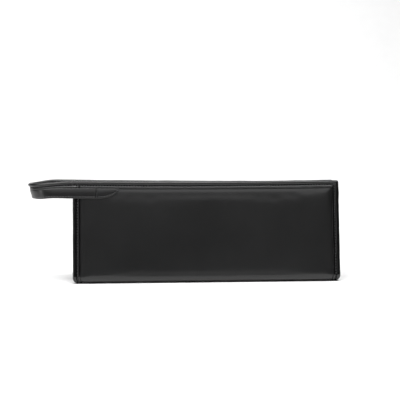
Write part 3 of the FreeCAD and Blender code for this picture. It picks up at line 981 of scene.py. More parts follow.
def end_sheet(name, side, setback, top, finish):
    """A trapezoid sheet across one end, its middle dipping in a little."""
    x = (LEFT_X if side == LEFT else RIGHT_X) - side * setback
    bottom = BASE_LIFT + GUSSET_INSET
    rows = []
    for height in even(bottom, top, 3.6 * MM):
        up = (height - bottom) / (top - bottom)
        wide = end_half_width(height)
        row = []
        for step in range(END_STEPS + 1):
            across = 2 * step / END_STEPS - 1
            dip = END_BOW * (1 - across ** 2) * math.sin(math.pi * up) ** 0.8 if up < 1 else 0.0
            row.append(Vector((x - side * dip, across * wide, height)))
        rows.append(row)
    return grid_sheet(name, rows, finish)


def declare_end(top):
    """Work out an end panel's flat size, as the trapezoid that it is cut as, without keeping or reporting it.
    """
    bottom = BASE_LIFT + GUSSET_INSET
    low, high = end_half_width(bottom), end_half_width(top)
    2 * low
    (low + high) * (top - bottom)


def make_gussets():
    """The soft end panels, which cave in a little between their seams."""
    for end, side in (("left", LEFT), ("right", RIGHT)):
        made = end_sheet(f"{end}_gusset", side, 1.75 * MM, GUSSET_TOP, "black_leather")
        if made.data.polygons[0].normal.x * side < 0:
            made.data.flip_normals()
        width = END_STEPS + 1
        count = len(made.data.vertices)
        held = [index for index in range(count)
                if index % width in (0, width - 1) or index < width or index >= count - width]
        billow(made, held, push=-1.2, slack=0.006, cap_out=0.4 * MM, cap_in=1.0 * MM)
        thickened(made, bag_settings().leather)
        softened(made)
        settle(made, "bag", f"{end}_gusset", slot="black_leather")
        declare_end(GUSSET_TOP)


# ---------------------------------------------------------------- bindings

TOP_REACH = 9 * MM                   # from the right end to where the top rolls stop
LEG_TOP = 7 * MM                     # down from the top to where an end's roll starts
EDGE_RUN = WALL_RUN - 0.5 * MM
EDGE_STEP = 5 * MM
BUNCH_FROM, BUNCH_TO = 0.68, 0.93    # of the bag's height


def away_from_joins(point):
    """0 where one piece of rolled edge meets the next, rising to 1 away from there."""
    left = abs(point.x - LEFT_X) / (15 * MM) if point.z > TOP_Z - 25 * MM else 1.0
    right = abs(point.x - (RIGHT_X - TOP_REACH)) / (6 * MM) if point.z > TOP_Z - 12 * MM else 1.0
    return min(left, right, 1.0)


def bunched(point):
    """1 where the right end's roll is bunched under its top corner, fading to 0 away from there."""
    share = (point.z / TOP_Z - BUNCH_FROM) / (BUNCH_TO - BUNCH_FROM)
    return math.sin(math.pi * share) if 0 < share < 1 else 0.0


def make_end_bindings():
    """The roll and its welts round each end, and the cord inside the roll."""
    for end, side in (("left", LEFT), ("right", RIGHT)):
        ring = end_stations(side, even(LEG_TOP, EDGE_RUN, EDGE_STEP))
        edge = list(ring)
        if side == RIGHT:
            corners = [corner_stations(face, side, TOP_REACH) for face in (FRONT, BACK)]
            edge = corners[0] + ring + corners[1][::-1]
        roll = swept(f"{end}_roll", edge, binding_profile(), "leather_trim")
        low_ring = end_stations(side, even((TOP_Z - GUSSET_TOP) * SLANT, EDGE_RUN, EDGE_STEP))
        welt = swept(f"{end}_welt", low_ring, gusset_welt_profile(), "leather_trim")
        made = rumpled(joined(f"{end}_binding", [roll, welt]), 0.22 * MM, 85, side, away_from_joins)
        if side == RIGHT:
            rumpled(made, 1.0 * MM, 100, 4.0, bunched)
        softened(made)
        settle(made, "bag", f"{end}_binding", slot="black_leather")
        cord = softened(swept(f"{end}_binding_cord", ring, cord_profile(), "filler_cord"))
        settle(cord, "bag", f"{end}_binding_cord", slot="filler_cord")
        rows = [row_on(edge, GROOVE, THREAD_DEPTH), row_on(low_ring, 2.2 * MM, -5.6 * MM)]
        settle(softened(stitch_rows(f"{end}_binding_stitches", rows, 5 + side)), "bag", slot="black_leather")


def top_stations(face):
    """Stations along one top edge, from the strap's root to the right end's own corner piece."""
    out, downward = wall_frame(face)
    return [(wall_point(x, 0.0, face), downward, out, None)
            for x in even(LEFT_X - 0.1 * MM, RIGHT_X - TOP_REACH, EDGE_STEP)]


def make_top_bindings():
    """The rolled binding, its cord and its stitches along each top edge."""
    for name, face in (("front", FRONT), ("back", BACK)):
        stations = top_stations(face)
        made = swept(f"{name}_top_binding", stations, binding_profile(), "leather_trim")
        softened(rumpled(made, 0.2 * MM, 80, face, away_from_joins))
        settle(made, "bag", f"{name}_top_binding", slot="black_leather")
        cord = softened(swept(f"{name}_top_cord", stations, cord_profile(), "filler_cord"))
        settle(cord, "bag", f"{name}_top_cord", slot="filler_cord")
        rows = [row_on(stations, GROOVE, THREAD_DEPTH)]
        settle(softened(stitch_rows(f"{name}_top_stitches", rows, 11)), "bag", slot="black_leather")


# ---------------------------------------------------------------- wrist strap

ROOT_X = LEFT_X
LOOP_HALF = 22.5 * MM
BEND_X = LOOP_X + 24 * MM
BEND_STEPS, SIDE_STEPS = 32, 13
DROOP = 3.8 * MM
APEX_TILT = math.radians(15)       # how far the strap leans out at the far end of its loop
TAB_CURVE = 24 * MM
BAND_TOP = 9.15 * MM               # the band's edges, down from the top
BAND_BOTTOM = 22.0 * MM
BAND_BACK = 0.2 * MM               # out from the wall's face
CROSS_SEAM_X = LEFT_X + 29 * MM
CROSS_SEAM_SHARES = (0.12, 0.4, 0.7, 0.82)
OVERLAP = 4 * MM                   # of the strap's rolled edge and a top roll
CORE_SHRINK = 0.86
STRAP_WIDTH, TAB_WIDTH = 31 * MM, 14 * MM      # cut widths


def loop_stations():
    """Stations along the free loop's top edge, from the front root round to the back root.

    Each has its ease, 0 at a root and 1 in the loop.
    """
    root_y = half_depth(TOP_Z)
    near = []
    for step in range(SIDE_STEPS):
        share = step / SIDE_STEPS
        near.append((between(ROOT_X, BEND_X, share), -between(root_y, LOOP_HALF, ease(share)), share))
    bend = []
    for step in range(BEND_STEPS + 1):
        turn = -math.pi / 2 - math.pi * step / BEND_STEPS
        bend.append((BEND_X + (BEND_X - LOOP_X - 1.0 * MM) * math.cos(turn), LOOP_HALF * math.sin(turn), 1.0))
    route = near + bend + [(x, -y, share) for x, y, share in reversed(near)]
    stations, shares = [], []
    for index, (x, y, share) in enumerate(route):
        before, after = route[max(index - 1, 0)], route[min(index + 1, len(route) - 1)]
        along = Vector((after[0] - before[0], after[1] - before[1], 0)).normalized()
        out = Vector((along.y, -along.x, 0))
        if out.dot(Vector((x - BEND_X, y, 0))) < 0:
            out = -out
        if share == 0:
            out = Vector((0, -1 if y < 0 else 1, 0))
        apex = ease((BEND_X + 8 * MM - x) / (BEND_X + 8 * MM - LOOP_X))
        tilt = LEAN * (1 - apex) - APEX_TILT * apex
        downward = -UP * math.cos(tilt) + out * math.sin(tilt)
        tilted_out = out * math.cos(tilt) + UP * math.sin(tilt)
        away = ease((ROOT_X - x) / (ROOT_X - LOOP_X))
        near_side = 0.5 - 0.5 * y / LOOP_HALF
        droop = DROOP * (near_side * away + (1 - near_side) * away ** 3)
        stations.append((Vector((x, y, TOP_Z - droop)), downward, tilted_out, None))
        shares.append(ease(share))
    return stations, shares


def tab_stations(face):
    """Stations along a top edge over the strap's sewn end, from its tip to the root."""
    out, downward = wall_frame(face)
    tip = TAB_END_X - TAB_CURVE
    first = [TAB_END_X - TAB_CURVE * (1 - math.cos(math.pi / 2 * step / 12)) for step in range(12)]
    seam = [CROSS_SEAM_X + share * MM for share in (1.3, 0.6, 0.25, 0, -0.25, -0.6, -1.3)]
    run = [x for x in first + even(tip, ROOT_X, 4 * MM)[:-1] if abs(x - CROSS_SEAM_X) > 2 * MM]
    return [(wall_point(x, 0.0, face), downward, out, None) for x in sorted(run + seam, reverse=True)]


def tab_profile(x):
    """The sewn end's section at x, with its rounded tip and the crease that the cross seam presses."""
    past = (x - (TAB_END_X - TAB_CURVE)) / TAB_CURVE
    reach = math.sqrt(max(1 - past * past, 0.0)) if past > 0 else 1.0
    low = BAND_TOP + max((BAND_BOTTOM - BAND_TOP) * reach, 0.35 * MM)
    crease = 0.75 * MM * math.exp(-((x - CROSS_SEAM_X) / (0.45 * MM)) ** 2)
    puffed = 0.35 * MM * (1 - math.exp(-abs(x - CROSS_SEAM_X) / (5 * MM)))
    return rounded_bar(BAND_TOP, low, BAND_BACK, 1.7 * MM + puffed - crease, 0.3 * MM * reach)


def band_profile(share):
    """The free band's section, by the station's ease."""
    top, low = between(BAND_TOP, 7.3 * MM, share), between(BAND_BOTTOM, 19.2 * MM, share)
    inner, outer = between(BAND_BACK, -1.5 * MM, share), between(2.05 * MM, 0.85 * MM, share)
    return rounded_bar(top, low, inner, outer, (0.3 - 0.1 * share) * MM)


def edge_roll(share):
    """The centre and the radius of the strap's rolled edge, by the station's ease."""
    radius = (2.65 - 0.45 * share) * MM
    return (radius, (-2.2 + 1.3 * share) * MM), radius


def edge_profile(share):
    """The strap's rolled edge and its welt, whose back reaches behind the band where the strap is free."""
    centre, radius = edge_roll(share)
    lift = 0.3 * share * MM
    shrink = 1 - 0.2 * share
    hidden = 0.7 * MM * min(8 * share, 1)
    welt = [(s * MM * shrink + (hidden if s > 8.9 and n < 0 else 0), n * MM * (1 - 0.3 * share) + lift * 0.3)
            for s, n in [(7.2, -3.0)] + WELT]
    return arc(centre, radius, 24, 318, 23) + welt


def sunk_profile():
    """The rolled edge's root section, shrunk to lie inside the top roll that it meets."""
    middle = edge_roll(0)[0]
    return [(between(middle[0], s, CORE_SHRINK), between(middle[1], n, CORE_SHRINK))
            for s, n in edge_profile(0)]


def make_strap():
    """The strap: a flat band sewn to both walls, with a rolled top edge where it runs free."""
    loop, shares = loop_stations()
    front, back = tab_stations(FRONT), tab_stations(BACK)[::-1]
    stations = front + loop + back
    profiles = [tab_profile(station[0].x) for station in front] + [band_profile(share) for share in shares]
    profiles += [tab_profile(station[0].x) for station in back]
    band = swept("strap_band", stations, profiles, "black_leather")
    cores = []
    for face in (FRONT, BACK):
        out, downward = wall_frame(face)
        cores.append([(wall_point(ROOT_X + past, 0.0, face), downward, out, None)
                      for past in (OVERLAP, 0.02 * MM)])
    sunk = [sunk_profile()] * 2
    edge = swept("strap_edge", cores[0] + loop + cores[1][::-1],
                 sunk + [edge_profile(share) for share in shares] + sunk, "leather_trim")
    made = softened(rumpled(joined("wrist_strap", [band, edge]), 0.16 * MM, 60, 2.0, away_from_joins))
    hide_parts("wrist_loop", "front_strap_tab", "back_strap_tab")
    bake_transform(made)
    free = sum((after[0] - before[0]).length for before, after in zip(loop, loop[1:]))
    sewn = 2 * (TAB_END_X - ROOT_X)
    free + sewn
    STRAP_WIDTH * free + TAB_WIDTH * sewn
    low_row = []
    for station, profile in zip(stations, profiles):
        bottom, face = max(s for s, _ in profile), max(n for _, n in profile)
        low_row.append(place(station, max(bottom - 2.1 * MM, BAND_TOP + 0.6 * MM), face + 0.02 * MM))
    groove = [place(station, GROOVE * (1 - 0.2 * share), (-0.75 + 0.25 * share) * MM)
              for station, share in zip(loop, shares)]
    rows = [low_row[3:-3], groove]
    for face in (FRONT, BACK):
        rows.append([wall_point(CROSS_SEAM_X, between(BAND_TOP, BAND_BOTTOM, share), face)
                     + wall_frame(face)[0] * 0.75 * MM for share in CROSS_SEAM_SHARES])
    thread = softened(stitch_rows("strap_stitches", rows, 17))
    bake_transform(thread)


# ---------------------------------------------------------------- hard-edged solids

def rounded_outline(corners, radii, steps=5):
    """An outline (x, y) with each corner rounded by its own radius."""
    points = []
    for index, corner in enumerate(corners):
        here = Vector(corner)
        before = (Vector(corners[index - 1]) - here).normalized()
        after = (Vector(corners[(index + 1) % len(corners)]) - here).normalized()
        bend = before.angle(after)
        if radii[index] <= 0 or bend > math.radians(175):
            points.append(tuple(here))
            continue
        reach = radii[index] / math.tan(bend / 2)
        centre = here + (before + after).normalized() * radii[index] / math.sin(bend / 2)
        first, last = here + before * reach - centre, here + after * reach - centre
        for step in range(steps + 1):
            share = step / steps
            spoke = first.slerp(last, share) if first.angle(last) > 0.01 else first
            points.append(tuple(centre + spoke.normalized() * radii[index]))
    return points


def prism(name, outline, low, high, bevel, finish, to_world):
    """A solid between two levels with bevelled rims. to_world turns (x, y, level) into a point."""
    shape = bmesh.new()
    bottom = [shape.verts.new(to_world(x, y, low)) for x, y in outline]
    top = [shape.verts.new(to_world(x, y, high)) for x, y in outline]
    rims = [shape.faces.new(bottom), shape.faces.new(top)]
    for step in range(len(outline)):
        after = (step + 1) % len(outline)
        shape.faces.new((bottom[step], bottom[after], top[after], top[step]))
    bmesh.ops.recalc_face_normals(shape, faces=shape.faces)
    edges = list({edge for face in rims for edge in face.edges})
    bmesh.ops.bevel(shape, geom=edges, offset=bevel, segments=3, affect="EDGES", profile=0.5,
                    clamp_overlap=True)
    crisp_edges(shape)
    mesh = bpy.data.meshes.new(name)
    shape.to_mesh(mesh)
    shape.free()
    mesh.materials.append(material(finish))
    made = bpy.data.objects.new(name, mesh)
    bpy.context.scene.collection.objects.link(made)
    return made


CRISP_ANGLE = 0.6    # in radians


def crisp_edges(shape):
    """Smooth shading that keeps edges that turn more than an angle."""
    for face in shape.faces:
        face.smooth = True
    for edge in shape.edges:
        edge.smooth = not (len(edge.link_faces) == 2 and edge.calc_face_angle() > CRISP_ANGLE)


def flat_bar(name, path, across, half_wide, half_thick, finish):
    """A rounded flat bar along points, its width along the across direction."""
    stations = []
    for index, point in enumerate(path):
        along = (path[min(index + 1, len(path) - 1)] - path[max(index - 1, 0)]).normalized()
        stations.append((point, across, along.cross(across).normalized(), None))
    corners = [(-half_wide, -half_thick), (half_wide, -half_thick),
               (half_wide, half_thick), (-half_wide, half_thick)]
    rounding = min(half_wide, half_thick) * 0.7
    return swept(name, stations, rounded_outline(corners, [rounding] * 4, 4), finish)


def lying(centre_x, centre_z):
    """A to_world for prism that lays an outline flat about a point of the bag's middle plane."""
    return lambda x, y, level: (centre_x + x, y, centre_z + level)


# ---------------------------------------------------------------- zip

FACING_IN, FACING_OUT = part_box("back_zip_facing")[0].y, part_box("back_zip_facing")[1].y
TAPE_IN, TAPE_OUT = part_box("back_zip_tape")[0].y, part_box("back_zip_tape")[1].y
TAPE_GRIP = 0.5 * MM                        # how far the tape's bead reaches into the teeth
END_OUT_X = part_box("right_zip_end")[1].x
TOOTH_MARGIN = 1 * MM
PATCH_LEFT_FROM = 143 * MM


def strip_stations(side, first, last, level, step=4 * MM):
    """Stations along X with the across direction pointing from the middle of the zip to one side."""
    return [(Vector((x, 0, level)), Vector((0, side, 0)), UP, None) for x in even(first, last, step)]


def tape_profile(inner, outer):
    """Woven tape with the cord that its teeth grip along the inner edge."""
    bead = arc((inner + 0.6 * MM, 0), 0.6 * MM, 35, 325, 10)
    return [(outer, -0.33 * MM), (outer + 0.1 * MM, 0), (outer, 0.33 * MM)] + bead


def rippled(made, height, seed):
    """Raise and lower a strip a little along its length."""
    for vertex in made.data.vertices:
        x, y, _ = vertex.co
        vertex.co.z += height * noise.noise(Vector((x * 22, y * 40, seed)))
    made.data.update()
    return made


def tooth_mesh(side):
    """One moulded tooth at the origin, its head pointing away from its side."""
    half = [(0.62, -3.3), (0.62, -1.9), (0.46, -1.25), (0.46, -0.35), (0.66, 0.1), (0.6, 0.58), (0.3, 0.85)]
    outline = [(x * MM, y * MM) for x, y in half] + [(-x * MM, y * MM) for x, y in reversed(half)]
    made = prism("tooth", outline, -1.15 * MM, 1.15 * MM, 0.14 * MM, "zip_teeth",
                 lambda x, y, level: (x, -side * y, level))
    outward(made)
    return made


def row_tree():
    """Copies of one object at even steps along every curve."""
    done = bpy.data.node_groups.get("objects_along")
    if done:
        return done
    tree, given, spaced = spaced_tree("objects_along", [
        ("Object", "Object", None), ("Pitch", "Float", 3 * MM), ("Unevenness", "Float", 0.02),
        ("Seed", "Int", 7)])
    make, link = tree.nodes.new, tree.links.new
    source = make("GeometryNodeObjectInfo")
    link(given.outputs["Object"], source.inputs["Object"])
    turned = make("FunctionNodeRandomValue")
    turned.data_type = "FLOAT_VECTOR"
    smallest = make("ShaderNodeMath")
    smallest.operation = "MULTIPLY"
    smallest.inputs[1].default_value = -1.0
    link(given.outputs["Unevenness"], smallest.inputs[0])
    link(smallest.outputs[0], turned.inputs[0])
    link(given.outputs["Unevenness"], turned.inputs[1])
    link(given.outputs["Seed"], turned.inputs["Seed"])
    copies = make("GeometryNodeInstanceOnPoints")
    link(spaced.outputs["Curve"], copies.inputs["Points"])
    link(source.outputs["Geometry"], copies.inputs["Instance"])
    link(turned.outputs[0], copies.inputs["Rotation"])
    return finish_tree(tree, given, copies, False)


def tooth_row(name, side, runs):
    """Teeth along one side of the zip over each run of X. The two sides are half a pitch apart."""
    pitch = bag_settings().tooth_pitch
    routes = []
    for first, last in runs:
        start = math.ceil((first - side * pitch / 4) / pitch) * pitch + side * pitch / 4
        steps = math.floor((last - start) / pitch)
        routes.append([Vector((start, 0, ZIP_Z)), Vector((start + steps * pitch + 0.01 * MM, 0, ZIP_Z))])
    tooth = tooth_mesh(side)
    made = from_nodes(name, line_object(routes), row_tree(),
                      {"Object": tooth, "Pitch": pitch, "Seed": 7 + side, "Material": material("zip_teeth")})
    bpy.data.objects.remove(tooth)
    if not made.data.polygons:
        raise RuntimeError(f"{name}: no teeth were made")
    return made


def make_zip_halves():
    """The two lifting tapes with their teeth and seams, and the leather facings that carry them."""
    first, last = ZIP_LEFT_X + TOOTH_MARGIN, ZIP_RIGHT_X - TOOTH_MARGIN
    for face, side in (("front", FRONT), ("back", BACK)):
        flap = f"{face}_zip_flap"
        tape = swept(f"{face}_zip_tape", strip_stations(side, ZIP_LEFT_X, ZIP_RIGHT_X, ZIP_Z),
                     tape_profile(TAPE_IN - TAPE_GRIP, TAPE_OUT), "zip_tape")
        softened(rippled(tape, 0.2 * MM, side), 1.0, ZIP_RIGHT_X)
        settle(tape, flap, f"{face}_zip_tape", slot="zip_tape")
        teeth = softened(tooth_row(f"{face}_zip_teeth", side, [(first, last)]), 0, ZIP_RIGHT_X)
        settle(teeth, flap, f"{face}_zip_teeth", slot="zip_teeth")
        seam = row_on(strip_stations(side, first, last, ZIP_Z), 11.4 * MM, 0.4 * MM)
        threads = softened(stitch_rows(f"{face}_tape_stitches", [seam], 21, 0.85), 0, ZIP_RIGHT_X)
        settle(threads, flap, slot="zip_tape")
        make_facing(face, side)


def make_facing(face, side):
    """A leather strip under the top roll, its lower edge sewn to the lining."""
    low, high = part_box(f"{face}_zip_facing")
    stations = strip_stations(side, -END_OUT_X, END_OUT_X, 0)
    inner, outer = FACING_IN - 0.15 * MM, FACING_OUT + 0.2 * MM
    corners = [(inner, low.z - 0.1 * MM), (outer, low.z - 0.1 * MM), (outer, high.z + 0.5 * MM),
               (inner + 0.7 * MM, high.z + 0.4 * MM), (inner, high.z - 0.9 * MM)]
    profile = rounded_outline(corners, [value * MM for value in (0.4, 0.4, 0.6, 0.6, 0.6)], 4)
    strip = softened(swept(f"{face}_zip_facing", stations, profile, "leather_trim"), 0)
    settle(strip, "bag", f"{face}_zip_facing", slot="black_leather")


def make_zip_ends():
    """The fixed ends of the zip: tapes with their teeth, and a leather patch over each outer end."""
    slider_low, slider_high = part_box("zip_slider")
    left_stop = 0.5 * MM - slider_low.x
    for end, side, stop in (("right", RIGHT, slider_high.x), ("left", LEFT, left_stop)):
        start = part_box(f"{end}_zip_end")[0 if side == RIGHT else 1].x
        profile = tape_profile(TAPE_IN - TAPE_GRIP, TAPE_OUT + 0.2 * MM)
        reach = sorted((start, side * END_OUT_X))
        parts = [swept(f"{end}_tape", strip_stations(face, *reach, ZIP_Z), profile, "zip_tape")
                 for face in (FRONT, BACK)]
        tapes = joined(f"{end}_zip_end_tape", parts)
        settle(tapes, "bag", f"{end}_zip_end", slot="zip_tape")
        clear = (0.4 * MM, 2.4 * MM) if side == RIGHT else (4.8 * MM, 0.8 * MM)
        run = tuple(sorted((start + side * clear[0], stop - side * clear[1])))
        for name, face in (("front", FRONT), ("back", BACK)):
            settle(tooth_row(f"{end}_end_teeth_{name}", face, [run]), "bag", slot="zip_teeth")
        covered_from = abs(stop) + 0.4 * MM
        if side == LEFT:
            covered_from = max(covered_from, PATCH_LEFT_FROM)
        make_end_patch(end, side, side * covered_from)


def make_end_patch(end, side, start):
    """A leather patch over the zip's outer end that turns down over the top of the end panel."""
    level = ZIP_Z + 0.55 * MM
    last = RIGHT_X - 1.9 * MM
    bend = 1.4 * MM
    thick = 0.9 * MM
    path = [(x, level) for x in even(abs(start), last - bend, 3 * MM)]
    path += [(last - bend + bend * math.sin(turn), level - bend + bend * math.cos(turn))
             for turn in map(math.radians, (18, 36, 54, 72, 90))]
    path.append((last, level - 3.2 * MM))
    half = TAPE_OUT + 0.1 * MM
    profile = rounded_outline([(-half, 0), (half, 0), (half, thick), (-half, thick)], [0.3 * MM] * 4, 3)
    made = swept(f"{end}_zip_patch", path_stations(path, side), profile, "leather_trim")
    settle(made, "bag", slot="black_leather")
    x = start + side * 1.6 * MM
    row = [Vector((x, y, level + thick + 0.05 * MM)) for y in (-half + 1.5 * MM, 0, half - 1.5 * MM)]
    settle(stitch_rows(f"{end}_patch_stitches", [row], 31, 0.9), "bag", slot="black_leather")


def path_stations(path, side):
    """Stations along a path of (distance from the middle, height), across the bag's depth."""
    stations = []
    for index, (x, z) in enumerate(path):
        before, after = path[max(index - 1, 0)], path[min(index + 1, len(path) - 1)]
        along = Vector((after[0] - before[0], after[1] - before[1])).normalized()
        out = Vector((-side * along.y, 0, along.x))
        stations.append((Vector((side * x, 0, z)), Vector((0, 1, 0)), out, None))
    return stations


def make_tail_tab():
    """The zip's tail: a doubled leather strip folded over the right end, sewn along its edges."""
    low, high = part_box("zip_tail_tab")
    thick = 2.3 * MM
    inner_x = high.x - thick - 0.25 * MM
    top = high.z - thick - 0.15 * MM
    bend = 2.2 * MM
    path = [(x, top) for x in even(low.x + 0.2 * MM, inner_x - bend, 1.5 * MM)]
    path += [(inner_x - bend + bend * math.sin(turn), top - bend + bend * math.cos(turn))
             for turn in map(math.radians, range(12, 91, 13))]
    path += [(inner_x - 0.15 * MM * math.sin(math.pi * share), top - bend - (top - bend - low.z) * share)
             for share in (0.1, 0.2, 0.35, 0.5, 0.65, 0.8, 0.9, 0.96, 1.0)]
    stations = path_stations(path, RIGHT)
    profiles = []
    for station in stations:
        left_over = (station[0].z - low.z) / (1.6 * MM)
        round_off = math.sqrt(max(1 - (1 - min(left_over, 1)) ** 2, 0.02))
        half = high.y * (0.86 + 0.14 * round_off) - 0.15 * MM
        height = thick * (0.35 + 0.65 * round_off)
        profiles.append(rounded_outline([(-half, 0), (half, 0), (half, height), (-half, height)],
                                        [height * 0.4] * 4, 4))
    made = swept("zip_tail_tab", stations, profiles, "leather_trim")
    settle(made, "bag", "zip_tail_tab", slot="black_leather")
    edge = high.y - 2.1 * MM
    level = thick + 0.03 * MM
    sewn = [station for station in stations if station[0].z > low.z + 2 * MM][1:]
    bottom = [sewn[-1][0] + Vector((level, y, 0)) for y in (-edge, 0, edge)]
    rows = [row_on(sewn, -edge, level), row_on(sewn, edge, level), bottom]
    settle(stitch_rows("tail_tab_stitches", rows, 41, 0.85), "bag", slot="black_leather")


def make_slider():
    """The zip slider: two shaped plates, their flanges, the post between them and the pull's arch."""
    low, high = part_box("zip_slider")
    half_long = (high.x - low.x) / 2 - 0.05 * MM
    wide = high.y - 0.05 * MM
    flat = lying((low.x + high.x) / 2, 0)
    tail, waist, rail = wide * 0.84, wide * 0.86, 0.55 * MM
    half = [(-half_long, tail), (-half_long * 0.1, waist), (half_long * 0.5, wide), (half_long, wide),
            (half_long, wide * 0.35)]
    corners = [(x, -y) for x, y in half] + [(half_long * 0.9, 0)] + half[::-1]
    radii = [value * MM for value in (1.4, 3, 3, 1.5, 1.0, 1.2, 1.0, 1.5, 3, 3, 1.4)]
    outline = rounded_outline(corners, radii)
    floor_low, floor_high = low.z + 0.05 * MM, ZIP_Z - 1.6 * MM
    roof_low = ZIP_Z + 1.6 * MM
    roof_high = roof_low + 1.3 * MM
    slit = 0.75 * MM    # half the gap that the tapes run in
    parts = [prism("floor", outline, floor_low, floor_high, 0.4 * MM, "zip_metal", flat),
             prism("roof", outline, roof_low, roof_high, 0.45 * MM, "zip_metal", flat)]
    edge = [(-half_long + 0.9 * MM, tail - 0.15 * MM), (half_long * 0.5, wide - 0.15 * MM),
            (half_long - 1 * MM, wide - 0.15 * MM)]
    for side in (FRONT, BACK):
        corners = [(x, side * (y - rail)) for x, y in edge] + [(x, side * y) for x, y in edge[::-1]]
        flange = rounded_outline(corners, [0.2 * MM] * 6, 2)
        for below, above in ((floor_high - 0.4 * MM, ZIP_Z - slit), (ZIP_Z + slit, roof_low + 0.4 * MM)):
            parts.append(prism("flange", flange, below, above, 0.12 * MM, "zip_metal", flat))
    back, front, half_post = half_long * 0.9 - 1.6 * MM, half_long * 0.9 - 0.5 * MM, 0.42 * MM
    post = rounded_outline([(back, -half_post), (front, -half_post), (front, half_post), (back, half_post)],
                           [0.3 * MM] * 4, 3)
    post_low, post_high = floor_high - 0.3 * MM, roof_low + 0.3 * MM
    parts.append(prism("post", post, post_low, post_high, 0.05 * MM, "zip_metal", flat))
    pivot = pull_pivot()
    rise = high.z - 0.5 * MM
    arch = [Vector((pivot.x + past * MM, 0, z)) for past, z in (
        (-3.0, roof_high - 0.5 * MM), (-2.9, roof_high + 0.7 * MM), (-2.5, rise - 0.55 * MM),
        (-1.6, rise - 0.1 * MM), (-0.6, rise), (0.8, rise), (2.2, rise - 0.15 * MM), (3.3, rise - 0.8 * MM),
        (4.2, roof_high + 0.5 * MM), (4.9, roof_high - 0.5 * MM))]
    parts.append(flat_bar("arch", arch, Vector((0, 1, 0)), 1.0 * MM, 0.42 * MM, "zip_metal"))
    settle(joined("zip_slider", parts), "slider", "zip_slider", slot="zip_metal")


def pull_pivot():
    """The line that the pull turns about, where it crosses the middle of the bag."""
    low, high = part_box("zip_pull")
    half_thick = (high.z - low.z) / 2
    return Vector((high.x - half_thick, 0, low.z + half_thick))


def make_pull():
    """The pull: an eye round the slider's arch and a long rounded grip with a raised field."""
    low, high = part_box("zip_pull")
    pivot = pull_pivot()
    half_thick = (high.z - low.z) / 2 - 0.03 * MM
    half_wide = high.y - 0.03 * MM
    eye_x = pivot.x - 5 * MM
    eye_wide, eye_end = half_wide - 0.65 * MM, eye_x - 0.2 * MM
    corners = [(pivot.x, -eye_wide), (pivot.x, eye_wide), (eye_end, eye_wide), (eye_end, -eye_wide)]
    loop = rounded_outline(corners, [0.9 * MM] * 4, 5)
    path = [Vector((x, y, pivot.z)) for x, y in loop]
    stations = []
    for index, point in enumerate(path):
        along = (path[(index + 1) % len(path)] - path[index - 1]).normalized()
        stations.append((point, along.cross(UP).normalized(), UP, None))
    bar = [(s * 0.62 * MM, n * half_thick) for s, n in arc((0, 0), 1.0, 0, 345, 23)]
    eye = swept("eye", stations, bar, "zip_metal", True)
    tip = low.x + 0.03 * MM
    neck = eye_x + 0.3 * MM
    shoulder, field_neck, field_tip = neck - 4.5 * MM, neck - 6 * MM, tip + 1.2 * MM
    corners = [(neck, -half_wide * 0.92), (neck, half_wide * 0.92), (shoulder, half_wide * 0.72),
               (tip, half_wide), (tip, -half_wide), (shoulder, -half_wide * 0.72)]
    shape = rounded_outline(corners, [value * MM for value in (0.5, 0.5, 6, 2.2, 2.2, 6)], 6)
    field = rounded_outline([(field_neck, -half_wide * 0.45), (field_neck, half_wide * 0.45),
                             (field_tip, half_wide * 0.62), (field_tip, -half_wide * 0.62)],
                            [value * MM for value in (0.8, 0.8, 1.2, 1.2)], 5)
    flat = lying(0, pivot.z)
    plate = half_thick - 0.18 * MM
    grip = prism("grip", shape, -plate, plate, 0.35 * MM, "zip_metal", flat)
    raised = prism("field", field, -half_thick, half_thick, 0.15 * MM, "zip_metal", flat)
    settle(joined("zip_pull", [eye, grip, raised]), "pull", "zip_pull", slot="zip_metal")


# ---------------------------------------------------------------- hidden boards

def make_boards():
    """Foam boards between the leather and the lining: one in each wall and one in the base."""
    reach = RIGHT_X - 8 * MM
    places = even(-reach, reach, 8 * MM)
    for face, side in (("front", FRONT), ("back", BACK)):
        out, downward = wall_frame(side)
        stations = [(wall_point(x, 0.0, side), downward, out, None) for x in places]
        board(f"{face}_stiffener", stations, 10.2 * MM, WALL_RUN - 1.5 * MM, -4.0 * MM, -2.0 * MM)
    stations = [(Vector((x, 0, 0)), Vector((0, 1, 0)), UP, None) for x in places]
    half = FOLD_CENTRE_Y - 0.5 * MM
    board("base_stiffener", stations, -half, half, BASE_LIFT + 1.6 * MM, BASE_LIFT + 3.6 * MM)


def board(node, stations, s_low, s_high, n_low, n_high):
    """One board with softly rounded edges, in place of its node."""
    corners = [(s_low, n_low), (s_high, n_low), (s_high, n_high), (s_low, n_high)]
    made = softened(swept(node, stations, rounded_outline(corners, [0.5 * MM] * 4, 3), "foam_board"))
    settle(made, "bag", node, slot="foam_board")


# ---------------------------------------------------------------- stage

LIGHTS = {    # place, aim, size and power
    "overhead": ((0, -0.45, 1.6), (0, 0.1, 0), (2.6, 0.5), 50),
    "key": ((-0.1, -0.7, 0.55), (0, 0, 0.08), (1.2, 0.25), 2.2),
    "side": ((-0.95, -0.45, 0.3), (0, 0, 0.08), (0.25, 0.5), 1.4),
    "backdrop": ((0, 0.9, 1.7), (0, 2.3, 0.5), (2.6, 0.8), 32),
}
SKY = 0.01
LENS, SENSOR = 88.9, 36
CAMERA_TARGET = Vector((-0.0098, -0.038, 0.1021))
CAMERA_AWAY, CAMERA_Z, CAMERA_TURN = 1.2, 0.195, math.radians(-4)
PAPER_HALF, PAPER_FRONT, PAPER_TOP = 4.5, -4.0, 4.0
BEND_FROM, PAPER_BEND = 1.2, 1.5


